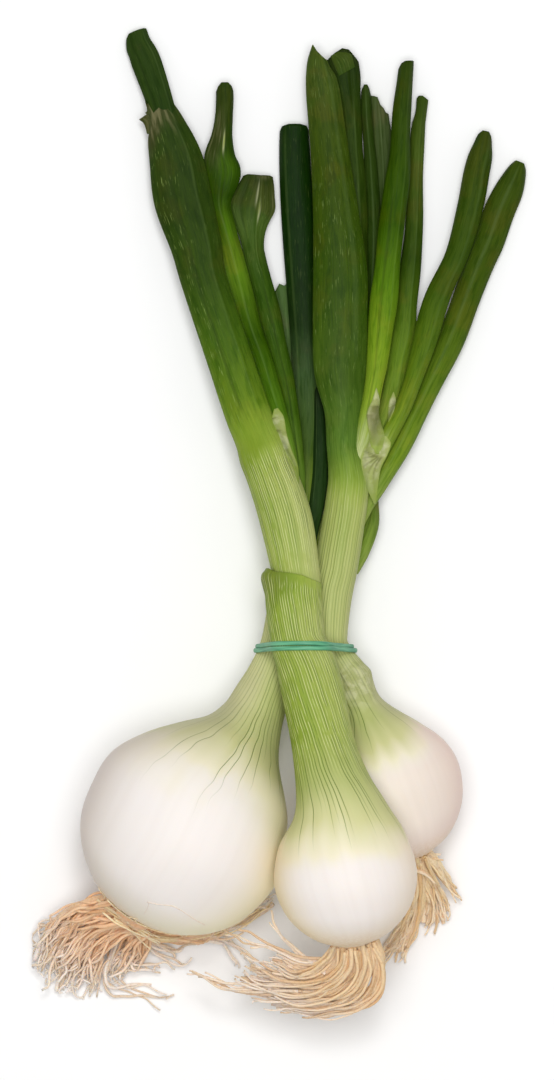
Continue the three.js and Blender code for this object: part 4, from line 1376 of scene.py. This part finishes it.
def make_tuft(tuft, relief):
    """A knot of root stubs at the bulb's plate, and locks of thin, winding roots."""
    shells = Shells()
    random = np.random.default_rng(tuft["seed"])
    turn = turns(CROWN_SIDES)
    crown = Spine.through(tuft["crown"], CROWN_RINGS)
    rough = 0.7 * waves(section(crown, turn), 1.6, tuft["seed"]) + 0.4 * ripple(turn, 24, 5)
    shells.tube(section(crown, turn, rough), turn, crown.along[:, None], shade=0.4)
    for lock in tuft.get("straw_locks", ()):
        add_lock(shells, lock, random, STRAW_TANGLE, size=STRAW_SIZE, straw=STRAW_TINT)
    for lock in tuft["locks"]:
        count, start, end, guide = lock
        least_way = TIP_WAY if count < STRAY_COUNT else 0
        add_lock(shells, lock, random, tuft["tangle"], least_way=least_way)
        if count >= CORE_COUNT:
            core = [count // CORE_SHARE, CORE_SPREAD * start, CORE_SPREAD * end, guide]
            add_lock(shells, core, random, CORE_TANGLE, CORE_DROP, size=CORE_SIZE)
    for half, path in tuft.get("threads", ()):
        add_thread(shells, path, half, relief)
    count, bulb = tuft.get("whiskers", (0, None))
    for _ in range(count):
        add_whisker(shells, bulb, random)
    return shells


def add_fibre(shells, centre, wide, thick, **paint):
    spine = Spine(centre, wide, thick)
    turn = turns(ROOT_SIDES)
    shells.tube(section(spine, turn), turn, spine.along[:, None], **paint)


def add_thread(shells, path, half, relief):
    """A single fibre that lies on what is under it."""
    share = np.linspace(0, 1, THREAD_RINGS)
    places = curve(path, share)
    heights = [relief.height(*place, half) for place in places]
    centre = seen(np.column_stack([places, heights])) + [0, 0, 0.6 * half]
    size = half * (1 - 0.4 * share)
    add_fibre(shells, centre, size, size, shade=0.5, way=TIP_WAY)


def add_whisker(shells, bulb, random):
    """A dry fibre that lies on the bulb, from its root plate outwards."""
    belly, plate = np.array(bulb["belly"], float), np.array(bulb["plate"], float)
    side = unit(np.cross(belly - plate, [0, 0, 1]))
    up = np.cross(side, unit(belly - plate))
    share = np.linspace(0, 1, WHISKER_RINGS)
    last = random.uniform(17, 26) + 16 * random.uniform(0, 1) ** 2
    from_plate = np.radians(10 + (last - 10) * share)[:, None]
    around = random.uniform(0, 2 * math.pi) + random.normal(0, 0.5) * share[:, None] ** 1.5
    outward = side * np.cos(around) + up * np.sin(around)
    size = bulb["radius"] + 0.4 + random.uniform(0, 2) * share[:, None] ** 2
    centre = belly + (plate - belly) * np.cos(from_plate) + outward * size * np.sin(from_plate)
    half = random.uniform(0.2, 0.42) * (1 - 0.5 * share)
    shade = random.uniform(0.2, 1)
    add_fibre(shells, centre, half, half, shade=shade, way=TIP_WAY, straw=STRAW_TINT)


def add_lock(shells, lock, random, tangle, drop=0.0, **looks):
    """Winding roots round the lock's guide, or lower than it by the drop."""
    count, start, end, guide = lock
    path = seen(guide) - [0, 0, drop]
    for _ in range(count):
        add_root(shells, path, start, end, random, tangle, **looks)


def add_root(shells, guide, start, end, random, tangle, size=1.0, least_way=0.0, straw=0.0):
    """One winding root. Its way, from 0 to 1, takes it from the tuft's colour to its tip's."""
    share = np.linspace(0, random.uniform(0.72, 1.04), ROOT_RINGS)
    centre = curve(guide, share)
    first = unit(random.normal(size=3)) * random.uniform(0, 1) ** 0.5
    last = 0.5 * first + 0.8 * unit(random.normal(size=3)) * random.uniform(0, 1) ** 0.5
    part = share[:, None] ** 0.8
    centre = centre + first * start * (1 - part) + last * end * part
    for length, height in WINDINGS:
        angle = share * np.linalg.norm(guide[-1] - guide[0]) * 2 * math.pi / length
        angle = angle[:, None] + random.uniform(0, 2 * math.pi, 3)
        centre = centre + height * tangle * share[:, None] ** 0.7 * np.sin(angle)
    radius = ROOT_RADIUS * size * random.uniform(0.7, 1.2) * (1 - 0.5 * share)
    lowest = radius + ROOT_FLOOR + 2.5 * random.uniform(0, 1) ** 2
    centre[:, 2] = np.maximum(centre[:, 2], lowest)
    shade = random.uniform(0, 1)
    way = np.maximum(share[:, None], least_way)
    add_fibre(shells, centre, radius, radius * 0.85, shade=shade, way=way, straw=straw)


# ---------------- making the rubber band
def band_loop(shift):
    """A taut loop round the three stems, with even steps. It starts at the lowest point. shift is
    along the stems, from the band's middle."""
    turn = turns(ONION_SIDES)
    points = []
    for line in (FRONT_SHEATH, LEFT_STEM, RIGHT_STEM):
        skin = section(Spine.through(line, STEM_RINGS), turn).reshape(-1, 3)
        x, y, z = skin.T
        away = y - BAND["y"] - shift - (z - BAND["y_height"]) * BAND["rise"]
        points.append(np.stack([x, z], axis=-1)[np.abs(away) < BAND["wide"]])
    points = np.vstack(points)
    angle = np.linspace(0, 2 * math.pi, 4 * BAND_STEPS, endpoint=False)
    outward = np.stack([np.sin(angle), -np.cos(angle)], axis=-1)
    loop = points[np.argmax(points @ outward.T, axis=0)] + BAND_GAP * outward
    closed = np.vstack([loop, loop[:1]])
    way = np.concatenate([[0], np.cumsum(np.linalg.norm(np.diff(closed, axis=0), axis=1))])
    even = np.linspace(0, way[-1], BAND_STEPS, endpoint=False)
    loop = np.stack([np.interp(even, way, closed[:, axis]) for axis in (0, 1)], axis=-1)
    for _ in range(BAND_ROUNDS):
        loop = (np.roll(loop, 1, axis=0) + 2 * loop + np.roll(loop, -1, axis=0)) / 4
    return loop


def make_band():
    shells = Shells()
    near = band_loop(-BAND["apart"])
    far = band_loop(BAND["apart"])
    steps = np.arange(2 * BAND_STEPS)
    wound = steps / BAND_STEPS
    swap = BAND["crossing"]
    side = np.clip(np.minimum(wound, 1 - wound) / swap, -1, 1)
    side = np.where(wound > 1.5, np.clip((wound - 2) / swap, -1, 0), side)
    over = np.exp(-(((wound - 1) / (0.8 * swap)) ** 2))
    share = (1 + side[:, None]) / 2
    loop = np.tile(far, (2, 1)) * (1 - share) + np.tile(near, (2, 1)) * share
    x, z = loop[:, 0], loop[:, 1]
    y = BAND["y"] + (z - BAND["y_height"]) * BAND["rise"]
    axis = unit(np.array([0, -1, BAND["rise"]]))
    ring = np.stack([x, y, z], axis=-1)
    ahead = np.roll(ring, -1, axis=0) - np.roll(ring, 1, axis=0)
    outward = unit(np.cross(ahead, axis))
    uneven = 1 + 0.08 * ripple(steps / len(steps), 40, 8)
    thick = (BAND["thick"] * uneven)[:, None]
    wide = (BAND["wide"] * uneven)[:, None]
    apart = BAND["apart"] * side * (1 + 0.25 * ripple(steps / len(steps), 17, 9))
    lift = BAND["thick"] * (1.05 + 2.2 * over)
    middle = ring + outward * lift[:, None] + axis * apart[:, None]
    corners = turns(BAND_SIDES)
    angle = -corners * 2 * math.pi
    out = (thick * np.cos(angle))[..., None] * outward[:, None]
    beside = (wide * np.sin(angle))[..., None] * axis
    along = BAND_GRAIN * steps[:, None]
    shells.tube(middle[:, None] + out + beside, corners, along, loop=True)
    return shells


# ---------------- the bunch
LEAF_SEED = 20  # the first leaf's seed, and each next one's is one higher
SKIN_SEED = 60


def make_bunch():
    parts = {onion["name"]: make_onion(onion) for onion in ONIONS}
    for seed, leaf in enumerate(LEAVES, LEAF_SEED):
        parts[leaf["name"]] = make_leaf(leaf, seed)
    relief = Relief(parts.values())
    for seed, skin in enumerate(SKINS, SKIN_SEED):
        add_skin(parts[skin["node"]], skin, relief, seed)
    for onion in ONIONS:
        parts[onion["name"]].write(onion["name"], onion_material(onion), "onion_skin")
    for seed, leaf in enumerate(LEAVES, LEAF_SEED):
        parts[leaf["name"]].write(leaf["name"], leaf_material(leaf, seed), "leaf")
    for tuft in TUFTS:
        make_tuft(tuft, relief).write(tuft["name"], root_material(tuft), "roots")
    make_band().write("rubber_band", band_material(), "rubber_band")


# ---------------- floor, light and camera
FLOOR_SIZE = 6.0


def make_floor():
    half = FLOOR_SIZE / 2
    mesh = bpy.data.meshes.new("floor")
    corners = [(-half, -half, 0), (half, -half, 0), (half, half, 0), (-half, half, 0)]
    mesh.from_pydata(corners, [], [(0, 1, 2, 3)])
    s = Shader("floor")
    grain = s.noise(30.0, 3.0)
    colour = s.mix(grain, (0.94, 0.94, 0.94, 1), (0.96, 0.96, 0.96, 1))
    mesh.materials.append(s.finish(Base_Color=colour, Roughness=0.8))
    floor = bpy.data.objects.new("floor", mesh)
    bpy.context.collection.objects.link(floor)


def add_light(name, place, size, energy):
    light = bpy.data.lights.new(name, "AREA")
    light.shape = "DISK"
    light.size = size
    light.energy = energy
    lamp = bpy.data.objects.new(name, light)
    lamp.location = place
    lamp.rotation_euler = (-lamp.location).to_track_quat("-Z", "Y").to_euler()
    bpy.context.collection.objects.link(lamp)


def set_world(strength):
    world = bpy.data.worlds.new("soft_light")
    world.use_nodes = True
    background = world.node_tree.nodes["Background"]
    background.inputs["Color"].default_value = (1, 1, 1, 1)
    background.inputs["Strength"].default_value = strength
    bpy.context.scene.world = world


def make_camera():
    """Looks straight down at the bunch from far above, with the leaves at the top."""
    camera = bpy.data.cameras.new("camera")
    focal = (CAMERA_HEIGHT - FOCUS_HEIGHT) / MM_PER_PIXEL
    camera.sensor_fit = "VERTICAL"
    camera.sensor_height = SENSOR
    camera.lens = SENSOR * focal / FRAME_HEIGHT
    camera.clip_end = 10
    holder = bpy.data.objects.new("camera", camera)
    holder.location = (0, CAMERA_Y * MM, CAMERA_HEIGHT * MM)
    bpy.context.collection.objects.link(holder)
    bpy.context.scene.camera = holder


make_bunch()
make_floor()
make_camera()
add_light("soft", (0.0, 0.0, 1.6), 0.9, 15.5)
add_light("flash", (0.07, 0.42, 1.55), 0.3, 4)
set_world(0.38)
bpy.context.scene.view_settings.view_transform = "Standard"
